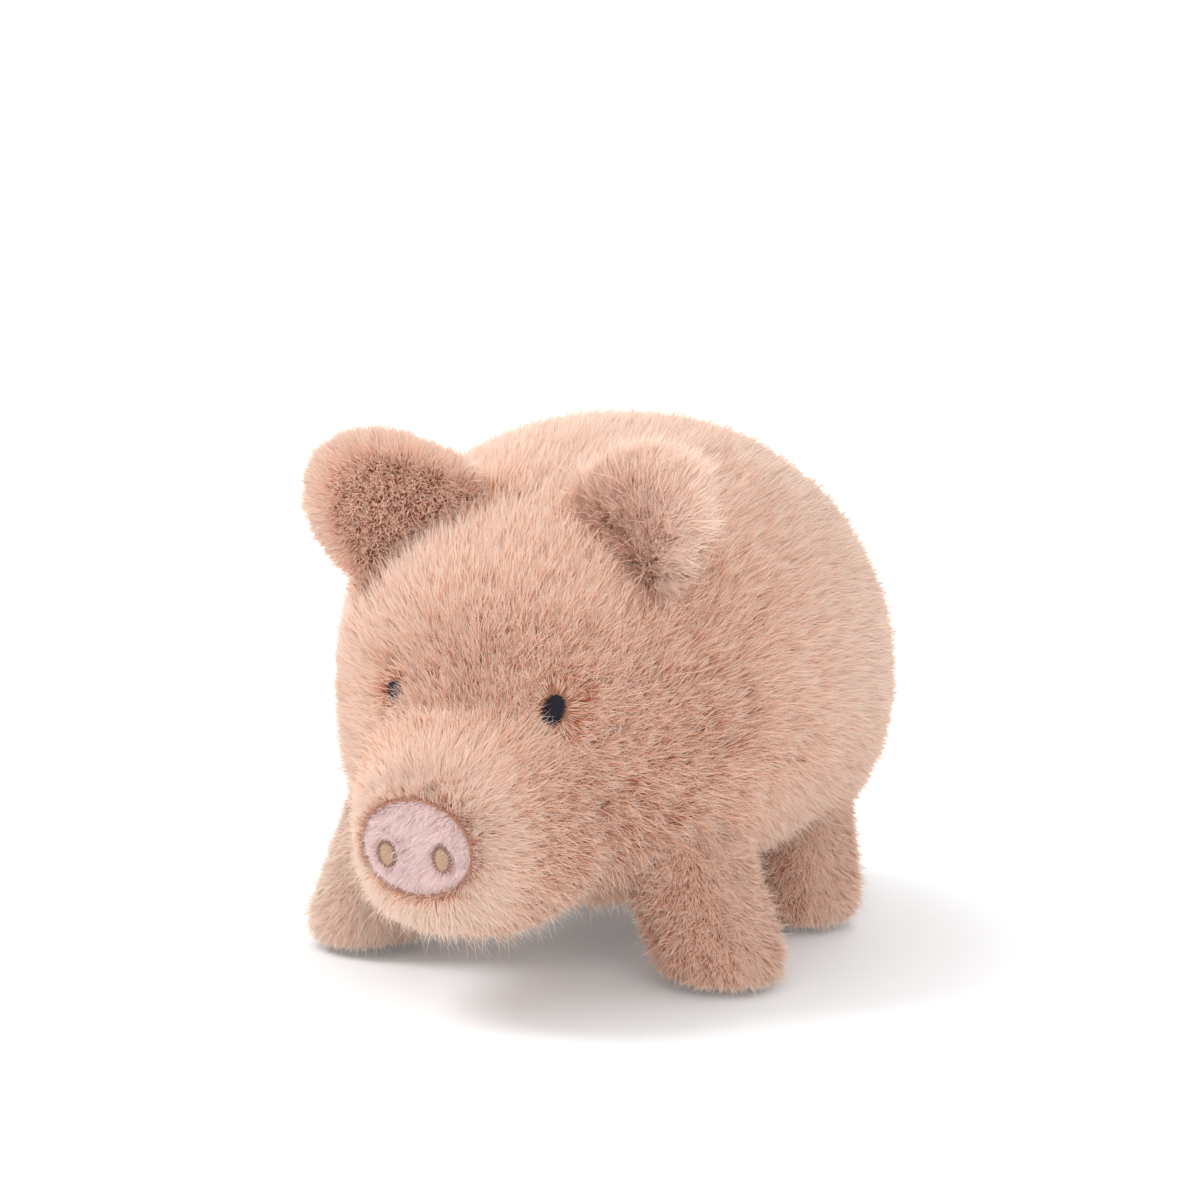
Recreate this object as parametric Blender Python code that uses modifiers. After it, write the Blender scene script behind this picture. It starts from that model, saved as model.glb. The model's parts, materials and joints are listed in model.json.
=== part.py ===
"""A standing plush pig: sewn covers over fibre stuffing, with legs, ears and a tail that flex at their seams.

The pig stands on the plane z = 0, looks along -Y, and has its left side on +X. Lengths are in metres.
The covers are drawn at about half the depth of the pile.
"""

import math

import bmesh
import bpy
from mathutils import Matrix, Vector

# Fabric and clearances
COVER_THICKNESS = 0.0030
SEAM_GAP = 0.0003
SOCKET_CLEARANCE = 0.0006
CUT_OVERRUN = 0.020
WELD_DISTANCE = 0.00001

# Torso: body and head swell as one egg
TORSO_HALF_WIDTH = 0.0810
TORSO_BACK_HEIGHT = 0.0710
TORSO_BELLY_DEPTH = 0.0750
TORSO_FRONT_LENGTH = 0.1230
TORSO_REAR_LENGTH = 0.0760
TORSO_CENTRE_Y = 0.0390
BELLY_CLEARANCE = 0.0205
HEAD_DROP = 0.0085
CHIN_DROP = 0.0110
RUMP_DROP = 0.0220
TORSO_PLAN_ROUND_SHARE = 0.850
HEAD_ROUND_SHARE = 0.730
RUMP_ROUND_SHARE = 1.050
TORSO_BELLY_ROUND_SHARE = 0.860
TORSO_SAG_SHARE = 0.100
NECK_SHARE = 0.36
BELLY_SEAM_SHARE = 0.70

# Muzzle, snout pad and nostrils
MUZZLE_HALF_WIDTH = 0.0350
MUZZLE_HALF_HEIGHT = 0.0340
MUZZLE_HALF_LENGTH = 0.0490
MUZZLE_SETBACK = 0.0080
MUZZLE_DROP = 0.0367
MUZZLE_TIP_SHARE = 0.80
MUZZLE_ROUND_SHARE = 0.800
MUZZLE_TILT_DEG = 8.0
PAD_RISE = 0.0045
PAD_HALF_WIDTH = 0.0185
PAD_HALF_HEIGHT = 0.0155
PAD_THICKNESS = 0.0036
PAD_GROOVE = 0.0007
PAD_SINK = 0.0075
PAD_ROUND_SHARE = 0.667
NOSTRIL_SPACING = 0.0186
NOSTRIL_DROP = 0.0022
NOSTRIL_HALF_WIDTH = 0.0030
NOSTRIL_HALF_HEIGHT = 0.0039
STITCH_HALF_THICKNESS = 0.0012
STITCH_ROUND_SHARE = 1.000

# Eyes: satin stitched ovals
EYE_HALF_WIDTH = 0.0035
EYE_HALF_HEIGHT = 0.0048
EYE_LEAN_DEG = 12.0
EYE_PLACE_SHARES = (0.320, -0.930, 0.095)

# Ears: a front and a back panel each
EAR_ROOT_INNER_SHARES = (0.200, -0.650, 0.850)
EAR_ROOT_OUTER_SHARES = (0.600, -0.750, 0.500)
EAR_ROOT_OVERHANG = 0.0085
EAR_HEIGHT = 0.0400
EAR_SINK = 0.0060
EAR_THICKNESS = 0.0160
EAR_TIP_SHIFT = 0.0090
EAR_TIP_WIDTH_SHARE = 0.56
EAR_CUP = 0.0035
EAR_ROUND_SHARE = 0.833
EAR_BLADE_DIRECTION = (0.820, -0.200, 0.620)
EAR_FLEX_DEG = (-15.0, 25.0)

# Legs: turned, splayed outwards, flat under the foot
LEG_ROOT_RADIUS = 0.0205
LEG_FOOT_RADIUS = 0.0205
LEG_FOOT_ROUND = 0.0160
LEG_FOOT_ROUND_SHARE = 0.667
HIP_HEIGHT = 0.0570
FRONT_FOOT_SPLAY = 0.0210
REAR_FOOT_SPLAY = 0.0060
SOLE_CUT_DEPTH = 0.0005
LEG_OPENING_RADIUS = 0.0100
FRONT_HIP_SHARES = (0.540, -0.570)
REAR_HIP_SHARES = (0.585, 0.180)
LEG_FLEX_DEG = (-12.0, 12.0)

# Tail: a short stuffed stub that turns up
TAIL_RADIUS = 0.0075
TAIL_LENGTH = 0.0160
TAIL_SINK = 0.0070
TAIL_TIP_SHARE = 0.55
TAIL_LIFT = 0.0080
TAIL_PLACE_SHARES = (0.0, 1.0, 0.350)
TAIL_FLEX_DEG = (-20.0, 20.0)

# Faces round and along each form
TORSO_SEGMENTS = 28
TORSO_RINGS = 16
MUZZLE_SEGMENTS = 20
MUZZLE_RINGS = 12
LEG_SEGMENTS = 16
LEG_ARC_POINTS = 4
EAR_SEGMENTS = 16
EAR_RINGS = 8
SMALL_SEGMENTS = 12
SMALL_RINGS = 6
FLEX_STEPS = 3

# Worked out from the sizes above
TORSO_CENTRE_Z = BELLY_CLEARANCE + TORSO_BELLY_DEPTH
MUZZLE_CENTRE = Vector(
    (0, TORSO_CENTRE_Y - TORSO_FRONT_LENGTH + MUZZLE_SETBACK, TORSO_CENTRE_Z - MUZZLE_DROP)
)
MUZZLE_TURN = Matrix.Rotation(math.radians(MUZZLE_TILT_DEG), 3, "X")
SIDES = {"left": 1, "right": -1}

# Colours and roughness of the materials
DUSTY_ROSE = (0.62, 0.40, 0.30)
DEEP_ROSE = (0.45, 0.25, 0.18)
PALE_PINK = (0.75, 0.55, 0.53)
TAN_THREAD = (0.58, 0.40, 0.26)
NAVY_THREAD = (0.012, 0.012, 0.022)
FIBRE_WHITE = (0.80, 0.78, 0.74)
PILE_ROUGHNESS = 0.95
THREAD_ROUGHNESS = 0.60
FIBRE_ROUGHNESS = 1.00


def clear_scene():
    for old in list(bpy.data.objects):
        bpy.data.objects.remove(old)


def collection_named(name):
    collection = bpy.data.collections.new(name)
    bpy.context.scene.collection.children.link(collection)
    return collection


def material_named(name, colour, roughness):
    material = bpy.data.materials.new(name)
    material.use_nodes = True
    shader = material.node_tree.nodes["Principled BSDF"]
    shader.inputs["Base Color"].default_value = (*colour, 1)
    shader.inputs["Roughness"].default_value = roughness
    shader.inputs["Metallic"].default_value = 0
    material.diffuse_color = (*colour, 1)
    return material


def object_from(bm, name, collection):
    """A smooth shaded object that holds the bmesh, which is freed."""
    bmesh.ops.recalc_face_normals(bm, faces=bm.faces)
    mesh = bpy.data.meshes.new(name)
    bm.to_mesh(mesh)
    bm.free()
    mesh.shade_smooth()
    made = bpy.data.objects.new(name, mesh)
    collection.objects.link(made)
    return made


def as_cutter(made):
    made.hide_render = True
    made.display_type = "WIRE"
    return made


def baked(source):
    """A mesh of what the object's modifiers make."""
    graph = bpy.context.evaluated_depsgraph_get()
    return bpy.data.meshes.new_from_object(source.evaluated_get(graph), depsgraph=graph)


def boolean(made, other, operation="DIFFERENCE"):
    modifier = made.modifiers.new(other.name, "BOOLEAN")
    modifier.operation = operation
    modifier.object = other


def finish_piece(made, colour, roughness, parent=None):
    """Bakes the modifiers in, gives the piece its material and hangs it on its hinge."""
    mesh = baked(made)
    made.modifiers.clear()
    made.data = mesh
    mesh.name = made.name
    mesh.materials.clear()
    mesh.materials.append(material_named(made.name, colour, roughness))
    mesh.shade_smooth()
    if parent:
        mesh.transform(Matrix.Translation(-parent.location))
        made.parent = parent
    return made


def norm(parts, round_share):
    """How far out some parts lie, on a ball that is round at a share of 1 and squarer below it."""
    power = 2 / round_share
    return sum(abs(part) ** power for part in parts) ** (1 / power)


def ball_form(point, segments, rings):
    """A bmesh ball whose unit directions are carried to the form's surface by point."""
    bm = bmesh.new()
    bmesh.ops.create_uvsphere(bm, u_segments=segments, v_segments=rings, radius=1)
    for vert in bm.verts:
        vert.co = point(vert.co.normalized())
    bmesh.ops.recalc_face_normals(bm, faces=bm.faces)
    bm.normal_update()
    return bm


def grow(bm, distance):
    """Moves the whole surface out by a distance, or in where it is negative."""
    bm.normal_update()
    moves = [vert.normal * distance * vert.calc_shell_factor() for vert in bm.verts]
    for vert, move in zip(bm.verts, moves):
        vert.co += move
    return bm


def torso_point(direction):
    """The egg: blunt in plan, rounder on its back than on its belly, and widest below its middle."""
    place = Vector(direction)
    facing = (1 - place.y / place.length) / 2
    crown = HEAD_ROUND_SHARE * facing + RUMP_ROUND_SHARE * (1 - facing)
    upright = crown if place.z > 0 else TORSO_BELLY_ROUND_SHARE
    level = norm(place.xy, TORSO_PLAN_ROUND_SHARE)
    place /= norm((level, place.z), upright)
    length = TORSO_FRONT_LENGTH if place.y < 0 else TORSO_REAR_LENGTH
    drop = HEAD_DROP - CHIN_DROP * min(0, place.z) if place.y < 0 else RUMP_DROP
    height = TORSO_BACK_HEIGHT if place.z > 0 else TORSO_BELLY_DEPTH
    spread = 1 - TORSO_SAG_SHARE * place.z * (1 - facing)
    return Vector(
        (
            TORSO_HALF_WIDTH * spread * place.x,
            TORSO_CENTRE_Y + length * spread * place.y,
            TORSO_CENTRE_Z + height * place.z - drop * place.y * place.y,
        )
    )


def torso_seat(direction, side=1):
    """The point of the torso's surface in a direction, and the surface's outward normal there."""
    facing = Vector(direction)
    facing.x *= side
    facing.normalize()
    across = facing.orthogonal().normalized()
    along = facing.cross(across)
    step = 1 / TORSO_SEGMENTS
    first = torso_point(facing + across * step) - torso_point(facing - across * step)
    second = torso_point(facing + along * step) - torso_point(facing - along * step)
    return torso_point(facing), first.cross(second).normalized()


def muzzle_point(direction):
    place = direction / norm(direction, MUZZLE_ROUND_SHARE)
    taper = 1 + (1 - MUZZLE_TIP_SHARE) * min(0, place.y)
    place.x *= MUZZLE_HALF_WIDTH * taper
    place.y *= MUZZLE_HALF_LENGTH
    place.z *= MUZZLE_HALF_HEIGHT * taper
    return MUZZLE_CENTRE + MUZZLE_TURN @ place


def on_muzzle(x, ahead, z):
    """A point given across the muzzle, ahead of its centre and above its axis."""
    return MUZZLE_CENTRE + MUZZLE_TURN @ Vector((x, -ahead, z))


def pad_front():
    return MUZZLE_HALF_LENGTH - PAD_SINK + SEAM_GAP + PAD_THICKNESS


def disc_form(centre, normal, half_width, half_height, half_thickness, round_share, lean_deg=0.0):
    """A flattened ball that lies on a surface, its height as near upright as the surface lets it be."""
    turn = (-normal).to_track_quat("Y", "Z").to_matrix()
    turn = turn @ Matrix.Rotation(math.radians(lean_deg), 3, "Y")

    def point(direction):
        level = math.hypot(direction.x, direction.z)
        place = direction / norm((level, direction.y), round_share)
        place.x *= half_width
        place.y *= half_thickness
        place.z *= half_height
        return centre + turn @ place

    return ball_form(point, SMALL_SEGMENTS, SMALL_RINGS)


def box_cutter(name, low, high, collection):
    bm = bmesh.new()
    bmesh.ops.create_cube(bm, size=1)
    size = [top - bottom for top, bottom in zip(high, low)]
    middle = [(top + bottom) / 2 for top, bottom in zip(high, low)]
    bmesh.ops.scale(bm, vec=size, verts=bm.verts)
    bmesh.ops.translate(bm, vec=middle, verts=bm.verts)
    return as_cutter(object_from(bm, name, collection))


def flex_cutter(name, sources, hinge, axis, flex_deg, clearance, collection):
    """The hull of everything that the sources pass through as they flex, grown by a clearance."""
    swept = bmesh.new()
    low, high = flex_deg
    for source in sources:
        for vert in source.data.vertices:
            place = vert.co + vert.normal * clearance - hinge
            for step in range(FLEX_STEPS):
                angle = math.radians(low + (high - low) * step / (FLEX_STEPS - 1))
                swept.verts.new(hinge + Matrix.Rotation(angle, 3, axis) @ place)
    bmesh.ops.remove_doubles(swept, verts=swept.verts, dist=clearance / 2)
    bmesh.ops.convex_hull(swept, input=swept.verts)
    spare = [vert for vert in swept.verts if not vert.link_faces]
    bmesh.ops.delete(swept, geom=spare, context="VERTS")
    return as_cutter(object_from(swept, name, collection))


def hinge_at(name, place):
    hinge = bpy.data.objects.new(name, None)
    hinge.location = place
    hinge.empty_display_size = LEG_OPENING_RADIUS
    bpy.context.scene.collection.objects.link(hinge)
    return hinge


def leg_profile():
    """The leg's outline from its root down to its foot, as (radius, height above the floor)."""
    points = []
    for step in range(LEG_ARC_POINTS + 1):
        angle = math.pi / 2 * (1 - step / LEG_ARC_POINTS)
        points.append(
            (LEG_ROOT_RADIUS * math.cos(angle), HIP_HEIGHT + LEG_ROOT_RADIUS * math.sin(angle))
        )
    points.append(
        ((LEG_ROOT_RADIUS + LEG_FOOT_RADIUS) / 2, (HIP_HEIGHT + LEG_FOOT_ROUND) / 2)
    )
    for step in range(LEG_ARC_POINTS + 1):
        angle = math.pi / 2 * step / LEG_ARC_POINTS
        power = LEG_FOOT_ROUND_SHARE
        drop = math.sin(angle) ** power * (LEG_FOOT_ROUND + SOLE_CUT_DEPTH)
        points.append((LEG_FOOT_RADIUS * max(0, math.cos(angle)) ** power, LEG_FOOT_ROUND - drop))
    points[0] = (0, points[0][1])
    points[-1] = (0, points[-1][1])
    return points


def leg_form(name, hip, foot_x, collection):
    """A closed leg, turned, then leant out below the hip and cut flat at the floor."""
    bm = bmesh.new()
    verts = [bm.verts.new((radius, 0, height)) for radius, height in leg_profile()]
    for first, second in zip(verts, verts[1:]):
        bm.edges.new((first, second))
    turned = object_from(bm, name, collection)
    screw = turned.modifiers.new("turned", "SCREW")
    screw.steps = LEG_SEGMENTS
    screw.render_steps = LEG_SEGMENTS
    screw.use_merge_vertices = True
    screw.merge_threshold = WELD_DISTANCE
    solid = bmesh.new()
    solid.from_mesh(baked(turned))
    bpy.data.objects.remove(turned)
    bmesh.ops.remove_doubles(solid, verts=solid.verts, dist=WELD_DISTANCE)
    for vert in solid.verts:
        lean = max(0, 1 - vert.co.z / HIP_HEIGHT)
        vert.co.x += hip.x + (foot_x - hip.x) * lean
        vert.co.y += hip.y
    floor = bmesh.ops.bisect_plane(
        solid,
        geom=solid.verts[:] + solid.edges[:] + solid.faces[:],
        plane_co=(0, 0, 0),
        plane_no=(0, 0, 1),
        clear_inner=True,
    )
    rim = [item for item in floor["geom_cut"] if isinstance(item, bmesh.types.BMEdge)]
    bmesh.ops.edgeloop_fill(solid, edges=rim)
    bmesh.ops.recalc_face_normals(solid, faces=solid.faces)
    return solid


def make_leg(end, side_name, hip_shares, splay, pieces, cutters):
    """A leg's cover and stuffing on their hinge, and the cutter of its socket in the torso."""
    side = SIDES[side_name]
    across, along = hip_shares
    length = TORSO_FRONT_LENGTH if along < 0 else TORSO_REAR_LENGTH
    hip = Vector((side * TORSO_HALF_WIDTH * across, TORSO_CENTRE_Y + length * along, HIP_HEIGHT))
    foot_x = hip.x + side * splay
    name = f"leg_{end}_{side_name}"
    cover = object_from(leg_form(name, hip, foot_x, cutters), f"{name}_cover", pieces)
    socket = flex_cutter(f"{name}_socket", [cover], hip, "X", LEG_FLEX_DEG, SOCKET_CLEARANCE, cutters)
    hinge = hinge_at(f"{name}_hinge", hip)

    shell = cover.modifiers.new("fabric", "SOLIDIFY")
    shell.thickness = COVER_THICKNESS
    shell.offset = -1
    shell.use_even_offset = True
    opening = bmesh.new()
    bmesh.ops.create_cone(
        opening,
        cap_ends=True,
        segments=SMALL_SEGMENTS,
        radius1=LEG_OPENING_RADIUS,
        radius2=LEG_OPENING_RADIUS,
        depth=LEG_ROOT_RADIUS,
    )
    bmesh.ops.translate(opening, vec=hip + Vector((0, 0, LEG_ROOT_RADIUS)), verts=opening.verts)
    boolean(cover, as_cutter(object_from(opening, f"{name}_opening", cutters)))
    finish_piece(cover, DUSTY_ROSE, PILE_ROUGHNESS, hinge)

    core = grow(leg_form(name, hip, foot_x, cutters), -COVER_THICKNESS - SEAM_GAP)
    stuffing = object_from(core, f"{name}_stuffing", pieces)
    finish_piece(stuffing, FIBRE_WHITE, FIBRE_ROUGHNESS, hinge)
    return socket


def ear_frame(side):
    """The ear's middle of root, its half root width, and its root, blade and facing directions."""
    inner, _ = torso_seat(EAR_ROOT_INNER_SHARES, side)
    outer, _ = torso_seat(EAR_ROOT_OUTER_SHARES, side)
    root = (outer - inner).normalized()
    blade = Vector(EAR_BLADE_DIRECTION)
    blade.x *= side
    blade = (blade - root * blade.dot(root)).normalized()
    facing = blade.cross(root) * side
    if facing.y > 0:
        facing = -facing
    middle = (inner + outer) / 2 - blade * EAR_SINK
    return middle, (outer - inner).length / 2 + EAR_ROOT_OVERHANG, root, blade, facing


def ear_panel(side, front):
    """One of the ear's two panels: domed outside, and flat where it meets the other, then cupped."""
    middle, half_root, root, blade, facing = ear_frame(side)
    height = EAR_HEIGHT + EAR_SINK
    way = 1 if front else -1

    def point(direction):
        place = direction / norm(direction, EAR_ROUND_SHARE)
        across, up, out = place.x, (place.y + 1) / 2, max(0, place.z)
        half_width = half_root * (1 - (1 - EAR_TIP_WIDTH_SHARE) * up)
        along = EAR_TIP_SHIFT * up + half_width * across
        bend = EAR_CUP * (across * across + up * up - 1 / 2)
        depth = way * (EAR_THICKNESS / 2 * out + SEAM_GAP / 2)
        return middle + root * along + blade * height * up + facing * (depth + bend)

    return ball_form(point, EAR_SEGMENTS, EAR_RINGS)


def make_ear(side_name, pieces, cutters):
    side = SIDES[side_name]
    middle, _, root, _, _ = ear_frame(side)
    panels = {
        "front": object_from(ear_panel(side, True), f"ear_{side_name}_front", pieces),
        "back": object_from(ear_panel(side, False), f"ear_{side_name}_back", pieces),
    }
    hinge = hinge_at(f"ear_{side_name}_hinge", middle)
    socket = flex_cutter(
        f"ear_{side_name}_socket",
        panels.values(),
        middle,
        root * side,
        EAR_FLEX_DEG,
        SOCKET_CLEARANCE,
        cutters,
    )
    finish_piece(panels["front"], DEEP_ROSE, PILE_ROUGHNESS, hinge)
    finish_piece(panels["back"], DUSTY_ROSE, PILE_ROUGHNESS, hinge)
    return socket


def make_tail(pieces, cutters):
    seat, normal = torso_seat(TAIL_PLACE_SHARES)
    root = seat - normal * TAIL_SINK
    lift = Vector((0, 0, 1))

    def point(direction):
        place = Vector(direction)
        out = (place.y + 1) / 2
        radius = TAIL_RADIUS * (1 - (1 - TAIL_TIP_SHARE) * out)
        spine = root + normal * (TAIL_LENGTH + TAIL_SINK) * out + lift * TAIL_LIFT * out * out
        return spine + Vector((place.x * radius, 0, place.z * radius))

    tail = object_from(ball_form(point, SMALL_SEGMENTS, SMALL_RINGS), "tail", pieces)
    hinge = hinge_at("tail_hinge", root + normal * TAIL_RADIUS)
    socket = flex_cutter(
        "tail_socket", [tail], hinge.location, "X", TAIL_FLEX_DEG, SOCKET_CLEARANCE, cutters
    )
    finish_piece(tail, DUSTY_ROSE, PILE_ROUGHNESS, hinge)
    return socket


def make_face(pieces, cutters):
    """The eyes, and the snout pad with its nostrils. Returns the cutters of their pockets."""
    pockets = {"head": [], "muzzle": []}
    for side_name, side in SIDES.items():
        seat, normal = torso_seat(EYE_PLACE_SHARES, side)
        sizes = (EYE_HALF_WIDTH, EYE_HALF_HEIGHT, STITCH_HALF_THICKNESS, STITCH_ROUND_SHARE)
        lean = side * EYE_LEAN_DEG
        eye = object_from(disc_form(seat, normal, *sizes, lean), f"eye_{side_name}", pieces)
        finish_piece(eye, NAVY_THREAD, THREAD_ROUGHNESS)
        pocket = grow(disc_form(seat, normal, *sizes, lean), SEAM_GAP)
        pockets["head"].append(as_cutter(object_from(pocket, f"eye_{side_name}_pocket", cutters)))

    ahead = MUZZLE_TURN @ Vector((0, -1, 0))
    middle = on_muzzle(0, pad_front() - PAD_THICKNESS / 2, PAD_RISE)
    pad_sizes = (PAD_HALF_WIDTH, PAD_HALF_HEIGHT, PAD_THICKNESS / 2, PAD_ROUND_SHARE)
    pad = object_from(disc_form(middle, ahead, *pad_sizes), "snout_pad", pieces)
    for side_name, side in SIDES.items():
        place = on_muzzle(side * NOSTRIL_SPACING / 2, pad_front(), PAD_RISE - NOSTRIL_DROP)
        sizes = (
            NOSTRIL_HALF_WIDTH, NOSTRIL_HALF_HEIGHT, STITCH_HALF_THICKNESS, STITCH_ROUND_SHARE
        )
        nostril = object_from(disc_form(place, ahead, *sizes), f"nostril_{side_name}", pieces)
        finish_piece(nostril, TAN_THREAD, THREAD_ROUGHNESS)
        pocket = grow(disc_form(place, ahead, *sizes), SEAM_GAP)
        boolean(pad, as_cutter(object_from(pocket, f"nostril_{side_name}_pocket", cutters)))
    finish_piece(pad, PALE_PINK, PILE_ROUGHNESS)

    bm = bmesh.new()
    bmesh.ops.create_cone(
        bm, cap_ends=True, segments=MUZZLE_SEGMENTS, radius1=1, radius2=1, depth=1
    )
    depth = PAD_SINK + CUT_OVERRUN
    bmesh.ops.rotate(bm, matrix=Matrix.Rotation(math.pi / 2, 3, "X"), verts=bm.verts)
    bmesh.ops.scale(
        bm,
        vec=(PAD_HALF_WIDTH + PAD_GROOVE, depth, PAD_HALF_HEIGHT + PAD_GROOVE),
        verts=bm.verts,
    )
    bmesh.ops.rotate(bm, matrix=MUZZLE_TURN, verts=bm.verts)
    middle = on_muzzle(0, MUZZLE_HALF_LENGTH - PAD_SINK + depth / 2, PAD_RISE)
    bmesh.ops.translate(bm, vec=middle, verts=bm.verts)
    pockets["muzzle"].append(as_cutter(object_from(bm, "snout_pad_pocket", cutters)))
    return pockets


def shell_of(name, point, segments, rings, pieces):
    """A form's whole fabric, as thick as the covers are."""
    shell = object_from(ball_form(point, segments, rings), name, pieces)
    fabric = shell.modifiers.new("fabric", "SOLIDIFY")
    fabric.thickness = COVER_THICKNESS
    fabric.offset = -1
    fabric.use_even_offset = True
    return shell


def make_covers(sockets, pockets, pieces, cutters):
    """The torso's panels and the muzzle's cover, parted along their seams."""
    far = TORSO_FRONT_LENGTH + TORSO_REAR_LENGTH
    gap = SEAM_GAP / 2
    neck = TORSO_CENTRE_Y - TORSO_FRONT_LENGTH * NECK_SHARE
    seam = TORSO_CENTRE_Z - TORSO_BELLY_DEPTH * BELLY_SEAM_SHARE
    muzzle_room = grow(ball_form(muzzle_point, MUZZLE_SEGMENTS, MUZZLE_RINGS), SEAM_GAP)
    muzzle_room = as_cutter(object_from(muzzle_room, "muzzle_room", cutters))
    torso_room = grow(ball_form(torso_point, TORSO_SEGMENTS, TORSO_RINGS), SEAM_GAP)
    torso_room = as_cutter(object_from(torso_room, "torso_room", cutters))

    panels = {
        "body_side_left": ((gap, neck + gap, seam + gap), (far, far, far)),
        "body_side_right": ((-far, neck + gap, seam + gap), (-gap, far, far)),
        "belly_panel": ((-far, neck + gap, -far), (far, far, seam - gap)),
        "head_side_left": ((gap, -far, -far), (far, neck - gap, far)),
        "head_side_right": ((-far, -far, -far), (-gap, neck - gap, far)),
    }
    for name, (low, high) in panels.items():
        panel = shell_of(name, torso_point, TORSO_SEGMENTS, TORSO_RINGS, pieces)
        boolean(panel, box_cutter(f"{name}_outline", low, high, cutters), "INTERSECT")
        for cut in [muzzle_room, *sockets, *pockets["head"]]:
            boolean(panel, cut)
        finish_piece(panel, DUSTY_ROSE, PILE_ROUGHNESS)

    cover = shell_of("muzzle_cover", muzzle_point, MUZZLE_SEGMENTS, MUZZLE_RINGS, pieces)
    for cut in [torso_room, *pockets["muzzle"], *sockets]:
        boolean(cover, cut)
    finish_piece(cover, DUSTY_ROSE, PILE_ROUGHNESS)


def make_torso_stuffing(sockets, pockets, pieces, cutters):
    inset = -COVER_THICKNESS - SEAM_GAP
    core = grow(ball_form(torso_point, TORSO_SEGMENTS, TORSO_RINGS), inset)
    stuffing = object_from(core, "torso_stuffing", pieces)
    nose = grow(ball_form(muzzle_point, MUZZLE_SEGMENTS, MUZZLE_RINGS), inset)
    boolean(stuffing, as_cutter(object_from(nose, "muzzle_filling", cutters)), "UNION")
    for cut in [*sockets, *pockets["muzzle"]]:
        boolean(stuffing, cut)
    finish_piece(stuffing, FIBRE_WHITE, FIBRE_ROUGHNESS)


def main():
    clear_scene()
    pieces = collection_named("plush_pig")
    cutters = collection_named("cutters")
    hips = {
        "front": (FRONT_HIP_SHARES, FRONT_FOOT_SPLAY),
        "rear": (REAR_HIP_SHARES, REAR_FOOT_SPLAY),
    }
    sockets = []
    for end, (shares, splay) in hips.items():
        for side_name in SIDES:
            sockets.append(make_leg(end, side_name, shares, splay, pieces, cutters))
    for side_name in SIDES:
        sockets.append(make_ear(side_name, pieces, cutters))
    sockets.append(make_tail(pieces, cutters))
    pockets = make_face(pieces, cutters)
    make_covers(sockets, pockets, pieces, cutters)
    make_torso_stuffing(sockets, pockets, pieces, cutters)
    for hinge in bpy.data.objects:
        if hinge.type == "EMPTY":
            print(hinge.name, [round(part, 5) for part in hinge.location])
    for side_name, side in SIDES.items():
        print(f"ear_{side_name} axis", [round(part, 5) for part in ear_frame(side)[2] * side])


main()
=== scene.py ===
# %% [markdown]
# This lesson dresses a plush pig. The pig's fabric panels, filling and joints come packed in a fixed
# frame, drawn at half the depth of the pile. Here each panel gets its backing cloth and its pile,
# the snout gets its short pale pile, and the eyes and nostrils get their satin stitches.
# Lengths are in metres. The pig stands on z = 0, looks along -Y and has its left side on +X.
# %% The frame
import json
import math

import bmesh
import bpy
from mathutils import Matrix, Vector, noise
from mathutils.bvhtree import BVHTree


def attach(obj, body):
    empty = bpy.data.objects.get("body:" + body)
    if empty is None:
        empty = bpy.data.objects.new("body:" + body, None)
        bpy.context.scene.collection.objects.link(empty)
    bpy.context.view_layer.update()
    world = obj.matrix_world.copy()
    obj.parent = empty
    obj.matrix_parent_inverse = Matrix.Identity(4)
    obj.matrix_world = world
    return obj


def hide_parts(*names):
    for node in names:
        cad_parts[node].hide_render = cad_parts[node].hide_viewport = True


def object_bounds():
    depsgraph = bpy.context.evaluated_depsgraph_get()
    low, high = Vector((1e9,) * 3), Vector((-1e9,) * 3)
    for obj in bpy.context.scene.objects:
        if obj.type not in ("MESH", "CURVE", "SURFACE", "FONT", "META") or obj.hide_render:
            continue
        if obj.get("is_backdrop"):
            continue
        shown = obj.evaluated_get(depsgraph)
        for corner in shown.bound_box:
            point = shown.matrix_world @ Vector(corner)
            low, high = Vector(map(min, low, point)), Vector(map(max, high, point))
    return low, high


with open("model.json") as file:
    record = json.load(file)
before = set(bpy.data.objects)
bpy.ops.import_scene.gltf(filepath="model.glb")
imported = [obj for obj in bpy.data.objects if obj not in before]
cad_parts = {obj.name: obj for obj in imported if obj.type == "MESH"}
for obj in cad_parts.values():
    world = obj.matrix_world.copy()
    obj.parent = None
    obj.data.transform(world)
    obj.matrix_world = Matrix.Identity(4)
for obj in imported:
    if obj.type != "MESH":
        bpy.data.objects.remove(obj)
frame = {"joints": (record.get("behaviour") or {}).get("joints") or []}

CAD_BOX = [list(corner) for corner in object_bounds()]
HINGES = {joint["child"]: Vector(joint["pos_m"]) for joint in frame["joints"]}
SIDES = {"left": 1, "right": -1}
print("CAD box in mm:", [[round(part * 1000, 1) for part in corner] for corner in CAD_BOX])
print("moving parts:", sorted(HINGES))

# %% [markdown]
# A node socket is wrapped so that masks and tones read as sums. Every other node, of a material or
# of the tree that grows the pile, comes from one method.
# %% Nodes as sums


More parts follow.
